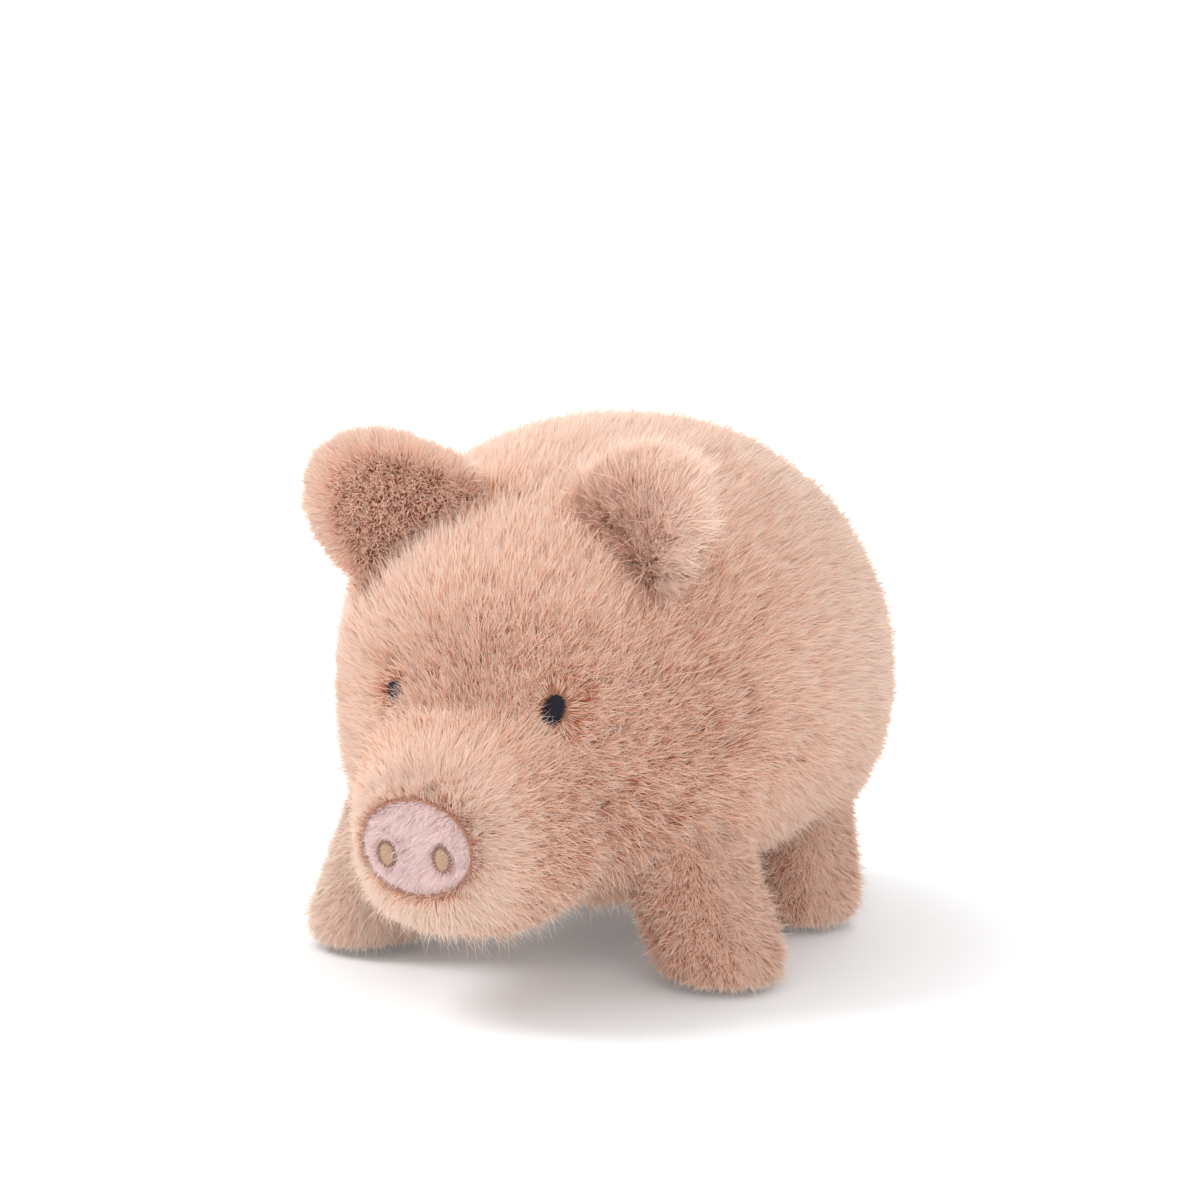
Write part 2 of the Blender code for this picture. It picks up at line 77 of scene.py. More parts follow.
class Wire:
    """An output socket that works in sums."""

    def __init__(self, net, socket):
        self.net = net
        self.socket = socket

    def maths(self, operation, *values):
        return self.net.add("ShaderNodeMath", {"operation": operation}, dict(enumerate(values)))

    def __add__(self, other):
        return self.maths("ADD", self, other)

    def __radd__(self, other):
        return self.maths("ADD", other, self)

    def __sub__(self, other):
        return self.maths("SUBTRACT", self, other)

    def __rsub__(self, other):
        return self.maths("SUBTRACT", other, self)

    def __mul__(self, other):
        return self.maths("MULTIPLY", self, other)

    def __rmul__(self, other):
        return self.maths("MULTIPLY", other, self)

    def __pow__(self, other):
        return self.maths("POWER", self, other)


class Net:
    """A node tree that is built one node at a time."""

    def __init__(self, tree):
        self.tree = tree

    def add(self, kind, settings=None, values=None, out=0):
        node = self.tree.nodes.new(kind)
        for name, value in (settings or {}).items():
            if name == "stops":
                ramp = node.color_ramp.elements
                for index, (place, colour) in enumerate(value):
                    stop = ramp[index] if index < 2 else ramp.new(place)
                    stop.position = place
                    stop.color = (*colour, 1)
            else:
                setattr(node, name, value)
        for key, value in (values or {}).items():
            if isinstance(value, Wire):
                self.tree.links.new(value.socket, node.inputs[key])
            else:
                node.inputs[key].default_value = value
        return Wire(self, node.outputs[out])

    def vector(self, operation, *values, out=0):
        return self.add("ShaderNodeVectorMath", {"operation": operation}, dict(enumerate(values)), out)

    def scaled(self, value, factor):
        values = {"Vector": value, "Scale": factor}
        return self.add("ShaderNodeVectorMath", {"operation": "SCALE"}, values)


# %% [markdown]
# Faux fur is dyed in one colour, but it never shows one: the tips catch the light, the roots lie in
# each other's shade, and single hairs differ a little. So the colour is painted along each hair, dark
# at the root as painted shade and pale at the tip as painted light, and each hair has a tone of its
# own. Both are kept in a UV map.
# %% Pile materials
PILE_MAP = "OFBake"


def plain_shader(name, roughness, sheen, specular=0.25):
    material = bpy.data.materials.new(name)
    material.use_nodes = True
    shader = material.node_tree.nodes["Principled BSDF"]
    shader.inputs["Roughness"].default_value = roughness
    shader.inputs["Sheen Weight"].default_value = sheen
    shader.inputs["Sheen Roughness"].default_value = 0.5
    shader.inputs["Specular IOR Level"].default_value = specular
    return material, Net(material.node_tree), shader


def pile_material(name, root, middle, tip, spread=0.16):
    """Hair that runs from root to tip colour, each strand lighter or darker by half the spread."""
    material, net, shader = plain_shader(name, 0.7, 0.1, 0.15)
    place = net.add("ShaderNodeUVMap", {"uv_map": PILE_MAP})
    tone = net.add("ShaderNodeSeparateXYZ", None, {0: place}, "X")
    along = net.add("ShaderNodeSeparateXYZ", None, {0: place}, "Y")
    # The root stop is painted shade and the tip stop painted light.
    stops = [(0.05, root), (0.95, tip), (0.45, middle)]
    colour = net.add("ShaderNodeValToRGB", {"stops": stops}, {"Fac": along})
    toned = net.scaled(colour, 1 + spread / 2 - tone * spread)
    net.tree.links.new(toned.socket, shader.inputs["Base Color"])
    return material


BODY_PILE = pile_material("body_pile", (0.50, 0.165, 0.085), (0.86, 0.515, 0.360), (0.92, 0.770, 0.665))
# The ears' fronts get a copy of the body's pile with darker roots, as painted shade, and paler tips, as painted
# light.
EAR_PAINTED_SHADE_AND_LIGHT_PILE = pile_material("ear_pile", (0.30, 0.078, 0.036), (0.88, 0.500, 0.350), (0.97, 0.800, 0.685))
PAD_PILE = pile_material("pad_pile", (0.72, 0.42, 0.39), (0.84, 0.60, 0.57), (0.90, 0.74, 0.72), 0.3)
print("pile materials:", BODY_PILE.name, EAR_PAINTED_SHADE_AND_LIGHT_PILE.name, PAD_PILE.name)

# %% [markdown]
# Under the pile lies knitted backing cloth, in about the deep tone of the pile's roots, so that where
# it shows between the hairs it is also painted shade, and under that the white fibre. Both are matt,
# with a fine uneven surface.
# %% Cloth and fibre


def rough_material(name, dark, light, scale, depth, roughness=0.95, sheen=0.3, specular=0.25):
    material, net, shader = plain_shader(name, roughness, sheen, specular)
    place = net.add("ShaderNodeTexCoord", None, None, "Object")
    grain = net.add("ShaderNodeTexNoise", None, {"Vector": place, "Scale": scale, "Detail": 4})
    colour = net.add("ShaderNodeValToRGB", {"stops": [(0.3, dark), (0.7, light)]}, {"Fac": grain})
    bump = net.add("ShaderNodeBump", None, {"Height": grain, "Strength": 0.6, "Distance": depth})
    net.tree.links.new(colour.socket, shader.inputs["Base Color"])
    net.tree.links.new(bump.socket, shader.inputs["Normal"])
    return material


BACKING = rough_material("backing_cloth", (0.40, 0.17, 0.105), (0.52, 0.25, 0.165), 900, 0.0003)
PAD_BACKING = rough_material("pad_backing", (0.62, 0.36, 0.34), (0.72, 0.46, 0.44), 900, 0.0003)
FIBRE = rough_material("white_fibre", (0.66, 0.64, 0.60), (0.84, 0.82, 0.78), 160, 0.002)
print("cloth materials:", BACKING.name, PAD_BACKING.name, FIBRE.name)

# %% [markdown]
# The toy's forms are the frame's own: an egg for body and head, a blunt muzzle, turned legs that
# splay, puffy ears of two panels and a stub of a tail. They are repeated here as functions, so that
# cloth and pile can be laid on them as finely as they need.
# %% The sizes of the forms
TORSO = dict(width=0.0810, back=0.0710, belly=0.0750, front=0.1230, rear=0.0760)
TORSO_CENTRE = Vector((0, 0.0390, 0.0955))
HEAD_DROP, CHIN_DROP, RUMP_DROP = 0.0085, 0.0110, 0.0220
PLAN_ROUND, HEAD_ROUND, RUMP_ROUND, BELLY_ROUND = 0.850, 0.730, 1.050, 0.860
SAG = 0.100
NECK_Y = TORSO_CENTRE.y - TORSO["front"] * 0.36
SEAM_Z = TORSO_CENTRE.z - TORSO["belly"] * 0.70
MUZZLE = Vector((0.0350, 0.0490, 0.0340))
MUZZLE_CENTRE = Vector((0, TORSO_CENTRE.y - TORSO["front"] + 0.0080, TORSO_CENTRE.z - 0.0367))
MUZZLE_TIP, MUZZLE_ROUND = 0.80, 0.800
MUZZLE_TURN = Matrix.Rotation(math.radians(8), 3, "X")
PAD_RISE = 0.0045
PAD_HALF = Vector((0.0185, 0.0018, 0.0155))
PAD_SETBACK = 0.0075
PAD_GAP, PAD_THICKNESS = 0.0003, 0.0036
PAD_FRONT = MUZZLE.y - PAD_SETBACK + PAD_GAP + PAD_THICKNESS
CLOTH_DEPTH = 0.0024
CLOTH_THICKNESS = 0.0008
FILLING_DEPTH = 0.0036


def norm(parts, round_share):
    power = 2 / round_share
    return sum(abs(part) ** power for part in parts) ** (1 / power)


def torso_point(direction):
    place = Vector(direction)
    facing = (1 - place.y / place.length) / 2
    crown = HEAD_ROUND * facing + RUMP_ROUND * (1 - facing)
    upright = crown if place.z > 0 else BELLY_ROUND
    place /= norm((norm(place.xy, PLAN_ROUND), place.z), upright)
    length = TORSO["front"] if place.y < 0 else TORSO["rear"]
    drop = HEAD_DROP - CHIN_DROP * min(0, place.z) if place.y < 0 else RUMP_DROP
    height = TORSO["back"] if place.z > 0 else TORSO["belly"]
    spread = 1 - SAG * place.z * (1 - facing)
    return TORSO_CENTRE + Vector(
        (
            TORSO["width"] * spread * place.x,
            length * spread * place.y,
            height * place.z - drop * place.y * place.y,
        )
    )


def muzzle_point(direction):
    place = Vector(direction) / norm(direction, MUZZLE_ROUND)
    taper = 1 + (1 - MUZZLE_TIP) * min(0, place.y)
    place = Vector((place.x * MUZZLE.x * taper, place.y * MUZZLE.y, place.z * MUZZLE.z * taper))
    return MUZZLE_CENTRE + MUZZLE_TURN @ place


def on_muzzle(x, ahead, z):
    return MUZZLE_CENTRE + MUZZLE_TURN @ Vector((x, -ahead, z))


def in_muzzle(place):
    return MUZZLE_TURN.transposed() @ (place - MUZZLE_CENTRE)


print("neck at y =", round(NECK_Y, 4), "belly seam at z =", round(SEAM_Z, 4))

# %% [markdown]
# Each form starts as a ball, which has no open seam, and is carried to its shape. A form can be
# sunk below its surface, since the cloth lies at the foot of the pile. Where two forms meet, the
# stuffing pushes the seam outwards, so the cloth rises softly towards its neighbour.
# %% Balls and distances


def face_outwards(bm):
    bmesh.ops.recalc_face_normals(bm, faces=bm.faces)
    if bm.calc_volume(signed=True) < 0:
        bmesh.ops.reverse_faces(bm, faces=bm.faces)
    bm.normal_update()


def settled(bm):
    """The same mesh with its corners and faces in order of place, so that every run grows the same hairs."""
    verts = sorted(bm.verts, key=lambda vert: vert.co[:])
    number = {vert: index for index, vert in enumerate(verts)}
    rounds = []
    for face in bm.faces:
        corners = [number[vert] for vert in face.verts]
        first = corners.index(min(corners))
        rounds.append(corners[first:] + corners[:first])
    made = bmesh.new()
    places = [made.verts.new(vert.co) for vert in verts]
    for corners in sorted(rounds):
        made.faces.new([places[corner] for corner in corners])
    bm.free()
    made.normal_update()
    return made


def ball(point, segments, rings, sink=0.0, turn=None, swell=None):
    """A closed ball carried to a form, sunk below the form's surface."""
    bm = bmesh.new()
    bmesh.ops.create_uvsphere(bm, u_segments=segments, v_segments=rings, radius=1)
    if turn:
        bmesh.ops.rotate(bm, matrix=turn, verts=bm.verts)
    bm = settled(bm)
    for vert in bm.verts:
        vert.co = point(vert.co.normalized())
    face_outwards(bm)
    moved = [vert.co + vert.normal * ((swell(vert.co) if swell else 0) - sink) for vert in bm.verts]
    for vert, place in zip(bm.verts, moved):
        vert.co = place
    bm.normal_update()
    return bm


def tree_of(bm):
    tree = BVHTree.FromBMesh(bm)
    bm.free()
    return tree


def reach(tree, place):
    """How far a place lies outside a form, or inside it where negative."""
    near, normal, _, distance = tree.find_nearest(place)
    return math.copysign(distance, (place - near).dot(normal))


def smooth(value, low, high):
    share = min(1, max(0, (value - low) / (high - low)))
    return share * share * (3 - 2 * share)


def swelling(tree, height, width):
    """A soft rise towards a neighbouring form."""
    return lambda place: height * (1 - smooth(reach(tree, place), -0.25 * width, width))


TORSO_TREE = tree_of(ball(torso_point, 64, 40))
MUZZLE_TREE = tree_of(ball(muzzle_point, 48, 32))

# %% [markdown]
# A leg is a turned form: its outline is spun round, then leant outwards below the hip. The outline
# is worked out from the root's radius, the foot's radius and the rounding above the sole.
# %% Legs
LEG_ROOT, LEG_FOOT, FOOT_ROUNDING = 0.0205, 0.0205, 0.0160
FOOT_ROUND = 0.667
SPLAY = {"front": 0.0210, "rear": 0.0060}
LEGS = {f"leg_{end}_{side}": (SPLAY[end], way) for end in SPLAY for side, way in SIDES.items()}


def leg_form(name, sink=0.0, around=48, arc=10):
    hip = HINGES[name]
    splay, side = LEGS[name]
    root, foot = LEG_ROOT - sink, LEG_FOOT - sink
    points = []
    for step in range(arc + 1):
        angle = math.pi / 2 * (1 - step / arc)
        points.append((root * math.cos(angle), hip.z + root * math.sin(angle)))
    for step in range(1, 6):
        share = step / 6
        points.append((root + (foot - root) * share, hip.z + (FOOT_ROUNDING - hip.z) * share))
    for step in range(arc + 1):
        angle = math.pi / 2 * step / arc
        drop = math.sin(angle) ** FOOT_ROUND * (FOOT_ROUNDING - sink)
        points.append((foot * max(0, math.cos(angle)) ** FOOT_ROUND, FOOT_ROUNDING - drop))
    points[0] = (0, points[0][1])
    points[-1] = (0, points[-1][1])
    bm = bmesh.new()
    verts = [bm.verts.new((radius, 0, height)) for radius, height in points]
    edges = [bm.edges.new(pair) for pair in zip(verts, verts[1:])]
    whole_turn = dict(cent=(0, 0, 0), axis=(0, 0, 1), angle=math.tau, steps=around, use_merge=True)
    bmesh.ops.spin(bm, geom=verts + edges, **whole_turn)
    bmesh.ops.remove_doubles(bm, verts=bm.verts, dist=0.00005)
    bm = settled(bm)
    for vert in bm.verts:
        lean = max(0, 1 - vert.co.z / hip.z)
        vert.co += Vector((hip.x + side * splay * lean, hip.y, 0))
    face_outwards(bm)
    return bm


LEG_TREES = {name: tree_of(leg_form(name)) for name in LEGS}
print("legs:", sorted(LEG_TREES))

# %% [markdown]
# The pile is real geometry: hundreds of thousands of slim blades that stand on the cloth. Each one
# is the same small mesh, a leaf of two triangles with a bend. Geometry Nodes spread the blades over
# the cloth, turn each along a comb direction that is kept on the cloth's corners, and gather them
# into small locks, as the hairs of a real pile gather. A blade's shading normal leans to that of
# the cloth, so a lock takes the light as one soft surface.
# %% One hair
BLADE_BELLY = 0.38
BLADE_BEND = 0.20


def make_blade():
    bm = bmesh.new()
    bmesh.ops.create_circle(bm, cap_ends=True, segments=4, radius=0.5)
    sides = [vert for vert in bm.verts if abs(vert.co.x) > 0.1]
    bmesh.ops.connect_verts(bm, verts=sides)
    bmesh.ops.reverse_faces(bm, faces=bm.faces)
    uv = bm.loops.layers.uv.new(PILE_MAP)
    for vert in bm.verts:
        along = BLADE_BELLY if vert in sides else vert.co.y + 0.5
        vert.co = (BLADE_BEND * along * along, vert.co.x, along)
    for face in bm.faces:
        for loop in face.loops:
            loop[uv].uv = (loop.vert.co.y + 0.5, loop.vert.co.z)
    mesh = bpy.data.meshes.new("blade")
    bm.to_mesh(mesh)
    bm.free()
    mesh.shade_smooth()
    return bpy.data.objects.new("blade", mesh)


BLADE = make_blade()
print("triangles in a hair:", len(BLADE.data.polygons))

# %% The tree that grows the pile
PILE_DEFAULTS = dict(width=0.00027, lock_size=0.0025, lock_pull=1.0, swirl=0.32, unruly=0.18, soft=0.26)
SHORTEST, VARIED, FLYAWAY = 0.66, 0.46, 0.70
RUFFLED_WHERE_DEEP, SLEEK_WHERE_PALE = 2.2, 1.1
PULL_DISTANCE = 0.008
ABOVE_FLOOR = 0.0002
HIGHEST_HAIR = 0.1855


def pile_tree(name, seed, density, width, lock_size, lock_pull, swirl, unruly, soft):
    tree = bpy.data.node_groups.new(name, "GeometryNodeTree")
    tree.interface.new_socket("Geometry", in_out="INPUT", socket_type="NodeSocketGeometry")
    tree.interface.new_socket("Geometry", in_out="OUTPUT", socket_type="NodeSocketGeometry")
    net = Net(tree)

    def kept(attribute, kind):
        return net.add("GeometryNodeInputNamedAttribute", {"data_type": kind}, {"Name": attribute})

    def keep(geometry, attribute, kind, value, domain="POINT"):
        settings = {"data_type": kind, "domain": domain}
        values = {"Geometry": geometry, "Name": attribute, "Value": value}
        return net.add("GeometryNodeStoreNamedAttribute", settings, values)

    def chance(low, high, salt):
        values = {2: low, 3: high, "Seed": seed * 10 + salt}
        return net.add("FunctionNodeRandomValue", {"data_type": "FLOAT"}, values, 1)

    ground = net.add("NodeGroupInput")
    spread = tree.nodes.new("GeometryNodeDistributePointsOnFaces")
    tree.links.new(ground.socket, spread.inputs["Mesh"])
    tree.links.new((kept("room", "FLOAT") * density).socket, spread.inputs["Density"])
    spread.inputs["Seed"].default_value = seed
    normal = Wire(net, spread.outputs["Normal"])
    place = net.add("GeometryNodeInputPosition")
    lock = net.add("ShaderNodeTexVoronoi", None, {"Vector": place, "Scale": 1 / lock_size}, "Position")
    lock_colour = Wire(net, lock.socket.node.outputs["Color"])
    lock_tone = net.add("ShaderNodeSeparateXYZ", None, {0: lock_colour}, "X")
    share = chance(0.0, 1.0, 2)
    tone = (1 - share) * 0.6 + lock_tone * 0.4
    points = keep(Wire(net, spread.outputs["Points"]), "tone", "FLOAT", tone)
    points = keep(points, "cloth_normal", "FLOAT_VECTOR", normal)

    comb = kept("comb", "FLOAT_VECTOR")
    deep = kept("deep", "FLOAT")
    length = kept("pile", "FLOAT") * (SHORTEST + VARIED * share + FLYAWAY * share ** 16)
    wave = net.add("ShaderNodeTexNoise", None, {"Vector": place, "Scale": 130, "Detail": 3}, "Color")
    shaded = deep.maths("MAXIMUM", deep, 0)
    pale = deep.maths("MAXIMUM", 0 - deep, 0)
    ruffled = 1 + RUFFLED_WHERE_DEEP * shaded - SLEEK_WHERE_PALE * pale
    wave = net.scaled(net.vector("SUBTRACT", wave, (0.5, 0.5, 0.5)), swirl * 2 * ruffled)
    low, high = (-unruly,) * 3, (unruly,) * 3
    limits = {0: low, 1: high, "Seed": seed * 10 + 3}
    stray = net.add("FunctionNodeRandomValue", {"data_type": "FLOAT_VECTOR"}, limits)
    stray = net.scaled(stray, ruffled + 1.6 * share ** 8)
    pull = net.scaled(net.vector("SUBTRACT", lock, place), ruffled * (lock_pull / PULL_DISTANCE))
    way = net.vector("ADD", net.vector("ADD", comb, wave), net.vector("ADD", stray, pull))
    over = net.vector("SUBTRACT", way, net.scaled(normal, 1.6))
    axes = {"primary_axis": "Z", "secondary_axis": "X"}
    stand = net.add("FunctionNodeAxesToRotation", axes, {"Primary Axis": way, "Secondary Axis": over})
    twist = {"Axis": (0, 0, 1), "Angle": chance(-0.5, 0.5, 4)}
    roll = net.add("FunctionNodeAxisAngleToRotation", None, twist)
    turn = {"Rotation": stand, "Rotate By": roll}
    stand = net.add("FunctionNodeRotateRotation", {"rotation_space": "LOCAL"}, turn)
    broad = width * (1 + 0.5 * shaded) * (1.06 - 0.4 * share ** 6)
    size = net.add("ShaderNodeCombineXYZ", None, {"X": length, "Y": broad, "Z": length})
    blade = net.add("GeometryNodeObjectInfo", None, {"Object": BLADE}, "Geometry")
    instances = {"Points": points, "Instance": blade, "Rotation": stand, "Scale": size}
    pile = net.add("GeometryNodeInstanceOnPoints", None, instances)
    pile = net.add("GeometryNodeRealizeInstances", None, {"Geometry": pile})

    own = kept(PILE_MAP, "FLOAT_VECTOR")
    across = net.add("ShaderNodeSeparateXYZ", None, {0: own}, "X")
    along = net.add("ShaderNodeSeparateXYZ", None, {0: own}, "Y")
    tone = kept("tone", "FLOAT") * 0.98 + across * 0.02
    # Painted shade shows more of each hair's length in the dark root colour, darker hairs more so, and painted
    # light lifts the roots towards the pale tip colour.
    along = pale + (1 - pale) * along ** (1 + shaded * (1 + 16 * kept("tone", "FLOAT") ** 1.6))
    spot = net.add("ShaderNodeCombineXYZ", None, {0: tone, 1: along})
    pile = keep(pile, PILE_MAP, "FLOAT2", spot, "CORNER")
    clear = net.vector("MAXIMUM", net.add("GeometryNodeInputPosition"), (-1, -1, ABOVE_FLOOR))
    clear = net.vector("MINIMUM", clear, (1, 1, HIGHEST_HAIR))
    pile = net.add("GeometryNodeSetPosition", None, {"Geometry": pile, "Position": clear})
    own_normal = net.scaled(net.add("GeometryNodeInputNormal"), 1 - soft)
    mixed = net.vector("ADD", own_normal, net.scaled(kept("cloth_normal", "FLOAT_VECTOR"), soft))
    shading = net.add("GeometryNodeSetMeshNormal", {"mode": "FREE", "domain": "POINT"})
    node = shading.socket.node
    tree.links.new(pile.socket, node.inputs["Mesh"])
    tree.links.new(net.vector("NORMALIZE", mixed).socket, node.inputs["Custom Normal"])
    end = tree.nodes.new("NodeGroupOutput")
    tree.links.new(shading.socket, end.inputs[0])
    return tree


# %% [markdown]
# A comb style says, for each spot of a cloth, which way the hair lies, how steeply it stands, how
# high the pile is, whether there is room for it, and how much painted shading its hairs get: painted
# shade where it is positive, painted light where it is negative. Steep hair is cut short and flat
# hair is long, since both come from the same pile and only the brushing differs.
# %% Cloth and pile as pieces
PILE_HEIGHT = 0.0047


def object_from(bm, name, material):
    mesh = bpy.data.meshes.new(name)
    bm.to_mesh(mesh)
    bm.free()
    mesh.shade_smooth()
    mesh.materials.append(material)
    made = bpy.data.objects.new(name, mesh)
    bpy.context.scene.collection.objects.link(made)
    return made


def combed(bm, style):
    """Keeps a style's comb direction, pile length, room and painted shading on each corner of a cloth."""
    comb = bm.verts.layers.float_vector.new("comb")
    pile = bm.verts.layers.float.new("pile")
    room = bm.verts.layers.float.new("room")
    deep = bm.verts.layers.float.new("deep")
    bm.normal_update()
    for vert in bm.verts:
        flow, rise, height, space, vert[deep] = style(vert.co, vert.normal)
        lay = flow - vert.normal * flow.dot(vert.normal)
        if lay.length > 1:
            lay.normalize()
        way = vert.normal * rise + lay
        vert[comb] = way.normalized()
        steep = max(0.35, rise / way.length)
        vert[pile] = height / steep
        vert[room] = max(0, space)
    return bm


def grow_pile(bm, name, body, slot, material, density, layers=1, **habits):
    """Pieces of pile on a combed cloth: one for each layer."""
    for layer in range(layers):
        suffix = f"_pile_{layer + 1}" if layers > 1 else "_pile"
        seed = len(bpy.data.node_groups) + 1
        piece = object_from(bm.copy(), name + suffix, material)
        grower = piece.modifiers.new("pile", "NODES")
        grower.node_group = pile_tree(piece.name, seed, density / layers, **{**PILE_DEFAULTS, **habits})
        graph = bpy.context.evaluated_depsgraph_get()
        mesh = bpy.data.meshes.new_from_object(piece.evaluated_get(graph), depsgraph=graph)
        piece.modifiers.clear()
        piece.data = mesh
        mesh.name = piece.name
        mesh.materials.clear()
        mesh.materials.append(material)
        for spare in ("tone", "cloth_normal", "comb", "pile", "room", "deep"):
            if spare in mesh.attributes:
                mesh.attributes.remove(mesh.attributes[spare])
        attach(piece, body)
        print(piece.name, "has", len(mesh.polygons), "triangles")


def lay_cloth(bm, name, body, slot, material, node):
    """A closed sheet of cloth, as thin as the cloth is, that stands for its panel."""
    bm.normal_update()
    grown = bmesh.ops.extrude_face_region(bm, geom=bm.faces[:], use_keep_orig=True)
    inner = [part for part in grown["geom"] if isinstance(part, bmesh.types.BMVert)]
    bm.normal_update()
    for vert in inner:
        vert.co -= vert.normal * CLOTH_THICKNESS
    bmesh.ops.recalc_face_normals(bm, faces=bm.faces)
    finish_piece(object_from(bm, name, material), body, slot, node)


def finish_piece(piece, body, slot, node=None):
    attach(piece, body)
    if node:
        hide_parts(node)


# %% [markdown]
# Where the pile lies decides how the toy looks. On the trunk it is brushed back and lies flat. On
# the forehead it falls to the eyes, and on brow and cheeks it stands up, so one looks down between
# the hairs to their roots, and the hairs there are painted darker as painted shade. Round the eyes it
# is parted. A brush stroke has a spot in millimetres, a direction, a rise and an amount of painted
# shading, and each place follows those near it.
# %% The torso's comb
EYE_PLACE = Vector((0.320, -0.930, 0.095))
EYE_HALF = Vector((0.0035, 0.0012, 0.0048))


def torso_seat(direction, side=1):
    facing = Vector(direction)
    facing.x *= side
    facing.normalize()
    across = facing.orthogonal().normalized()
    along = facing.cross(across)
    step = 1 / 28
    first = torso_point(facing + across * step) - torso_point(facing - across * step)
    second = torso_point(facing + along * step) - torso_point(facing - along * step)
    return torso_point(facing), first.cross(second).normalized()


EYES = {side_name: torso_seat(EYE_PLACE, side) for side_name, side in SIDES.items()}
PARTING = {"left": 0.9, "right": 0.3}
EYE_PAINTED_SHADING = {"left": -0.1, "right": 0.80}
EYE_CLEAR = {"left": 1.05, "right": 0.50}
EYE_REACH = 0.020
RIGHT_SIDE_PAINTED_SHADE_SHARE = 0.4
THINNED_WHERE_DEEP = 0.40
# The last number of a stroke is its painted shading: brow, cheeks, jowls, chin, rump and belly are painted
# darker as painted shade, and the top of the back and the middle of the flanks lighter as painted light.
STROKES = [
    ((0, -35, 163), (0, 1, 0.10), 0.60, -0.08),
    ((0, -75, 140), (0, 0.5, 1), 0.60, 0.06),
    ((35, -65, 135), (0.3, 0.5, 1), 0.60, 0.12),
    ((0, -97, 112), (0, 0.3, 1), 0.65, 0.42),
    ((30, -87, 112), (0.5, 0.3, 0.9), 0.60, 0.44),
    ((0, -97, 92), (0, 0.1, 1), 0.75, 0.32),
    ((34, -82, 88), (1, 0.4, 0.5), 0.65, 0.50),
    ((62, -45, 115), (0.3, 0.7, 0.8), 0.55, 0.34),
    ((64, -42, 88), (0.3, 0.6, 0.9), 0.60, 0.66),
    ((57, -52, 60), (0.5, 0.8, 0.2), 0.65, 0.66),
    ((25, -60, 32), (0.3, 1, -0.2), 0.80, 0.35),
    ((73, -12, 62), (0, 1, -0.6), 0.70, 0.15),
    ((77, -10, 95), (0, 1, 0.05), 0.60, 0.05),
    ((45, -10, 150), (0, 1, -0.05), 0.50, 0.00),
    ((81, 40, 95), (0, 1, -0.15), 0.50, -0.25),
    ((75, 40, 50), (0, 1, -0.45), 0.60, 0.00),
    ((0, 45, 166), (0, 1, 0), 0.50, -0.40),
    ((45, 45, 150), (0, 1, -0.1), 0.50, -0.35),
    ((30, 107, 90), (0, 0.2, -1), 0.60, 0.35),
    ((0, 30, 20), (0, 1, 0), 0.80, 0.35),
]
BRUSHED = []
for spot, way, rise, deep in STROKES:
    for side in SIDES.values() if spot[0] else [1]:
        mirror = Vector((side, 1, 1))
        # The right side faces the key light, so there the painted shade is cut to a share and lessened further
        # out: that side is painted lighter as painted light.
        depth = deep if side > 0 or deep < 0 else deep * RIGHT_SIDE_PAINTED_SHADE_SHARE - 0.005 * spot[0]
        BRUSHED.append((Vector(spot) * mirror * 0.001, Vector(way).normalized() * mirror, rise, depth))


def brushed(place):
    """The comb direction, rise and painted shading at a place, from the brush strokes near it."""
    total, flow, rise, deep = 0, Vector(), 0, 0
    for spot, way, stroke_rise, stroke_shading in BRUSHED:
        weight = 1 / ((place - spot).length_squared + 0.0001) ** 2
        total += weight
        flow += way * weight
        rise += stroke_rise * weight
        deep += stroke_shading * weight
    return flow / total, rise / total, deep / total


def parted_at_eyes(place, flow, height, space, deep):
    """Hair leans away from an eye, and none grows through it."""
    for side_name, (seat, out) in EYES.items():
        away = place - seat
        away -= out * away.dot(out)
        far = math.hypot(math.hypot(away.x, away.y) / EYE_HALF.x, away.z / EYE_HALF.z)
        if (place - seat).length < EYE_REACH and far < 4:
            parted = PARTING[side_name] * (1 - smooth(far, 1.2, 3.2))
            flow = flow.lerp(away.normalized() * 1.3, parted)
            height *= 1 - 0.5 * PARTING[side_name] * (1 - smooth(far, 1.0, 2.4))
            # Round the right eye, which sits in a dimple, the hair is painted darker as painted shade; round
            # the left eye it is a little lighter.
            deep += (EYE_PAINTED_SHADING[side_name] - deep) * (1 - smooth(far, 1.0, 2.4))
            clear = EYE_CLEAR[side_name]
            space = min(space, smooth(far, clear, clear + 0.20))
    return flow, height, space, deep


EAR_ROOT_INNER = Vector((0.200, -0.650, 0.850))
EAR_ROOT_OUTER = Vector((0.600, -0.750, 0.500))
EAR_ROOTS = [
    (torso_seat(EAR_ROOT_INNER, side)[0], torso_seat(EAR_ROOT_OUTER, side)[0]) for side in SIDES.values()
]
EAR_ROOT_PAINTED_SHADE = {"left": 0.35, "right": 0.7}


def ear_root_painted_shade(place):
    """Painted shade on the pile next to an ear's root, where the ear meets the head."""
    near = 1
    for inner, outer in EAR_ROOTS:
        run = outer - inner
        share = min(1, max(0, (place - inner).dot(run) / run.length_squared))
        near = min(near, (place - inner - run * share).length)
    shade = EAR_ROOT_PAINTED_SHADE["left" if place.x > 0 else "right"]
    return shade * (1 - smooth(near, 0.006, 0.014))


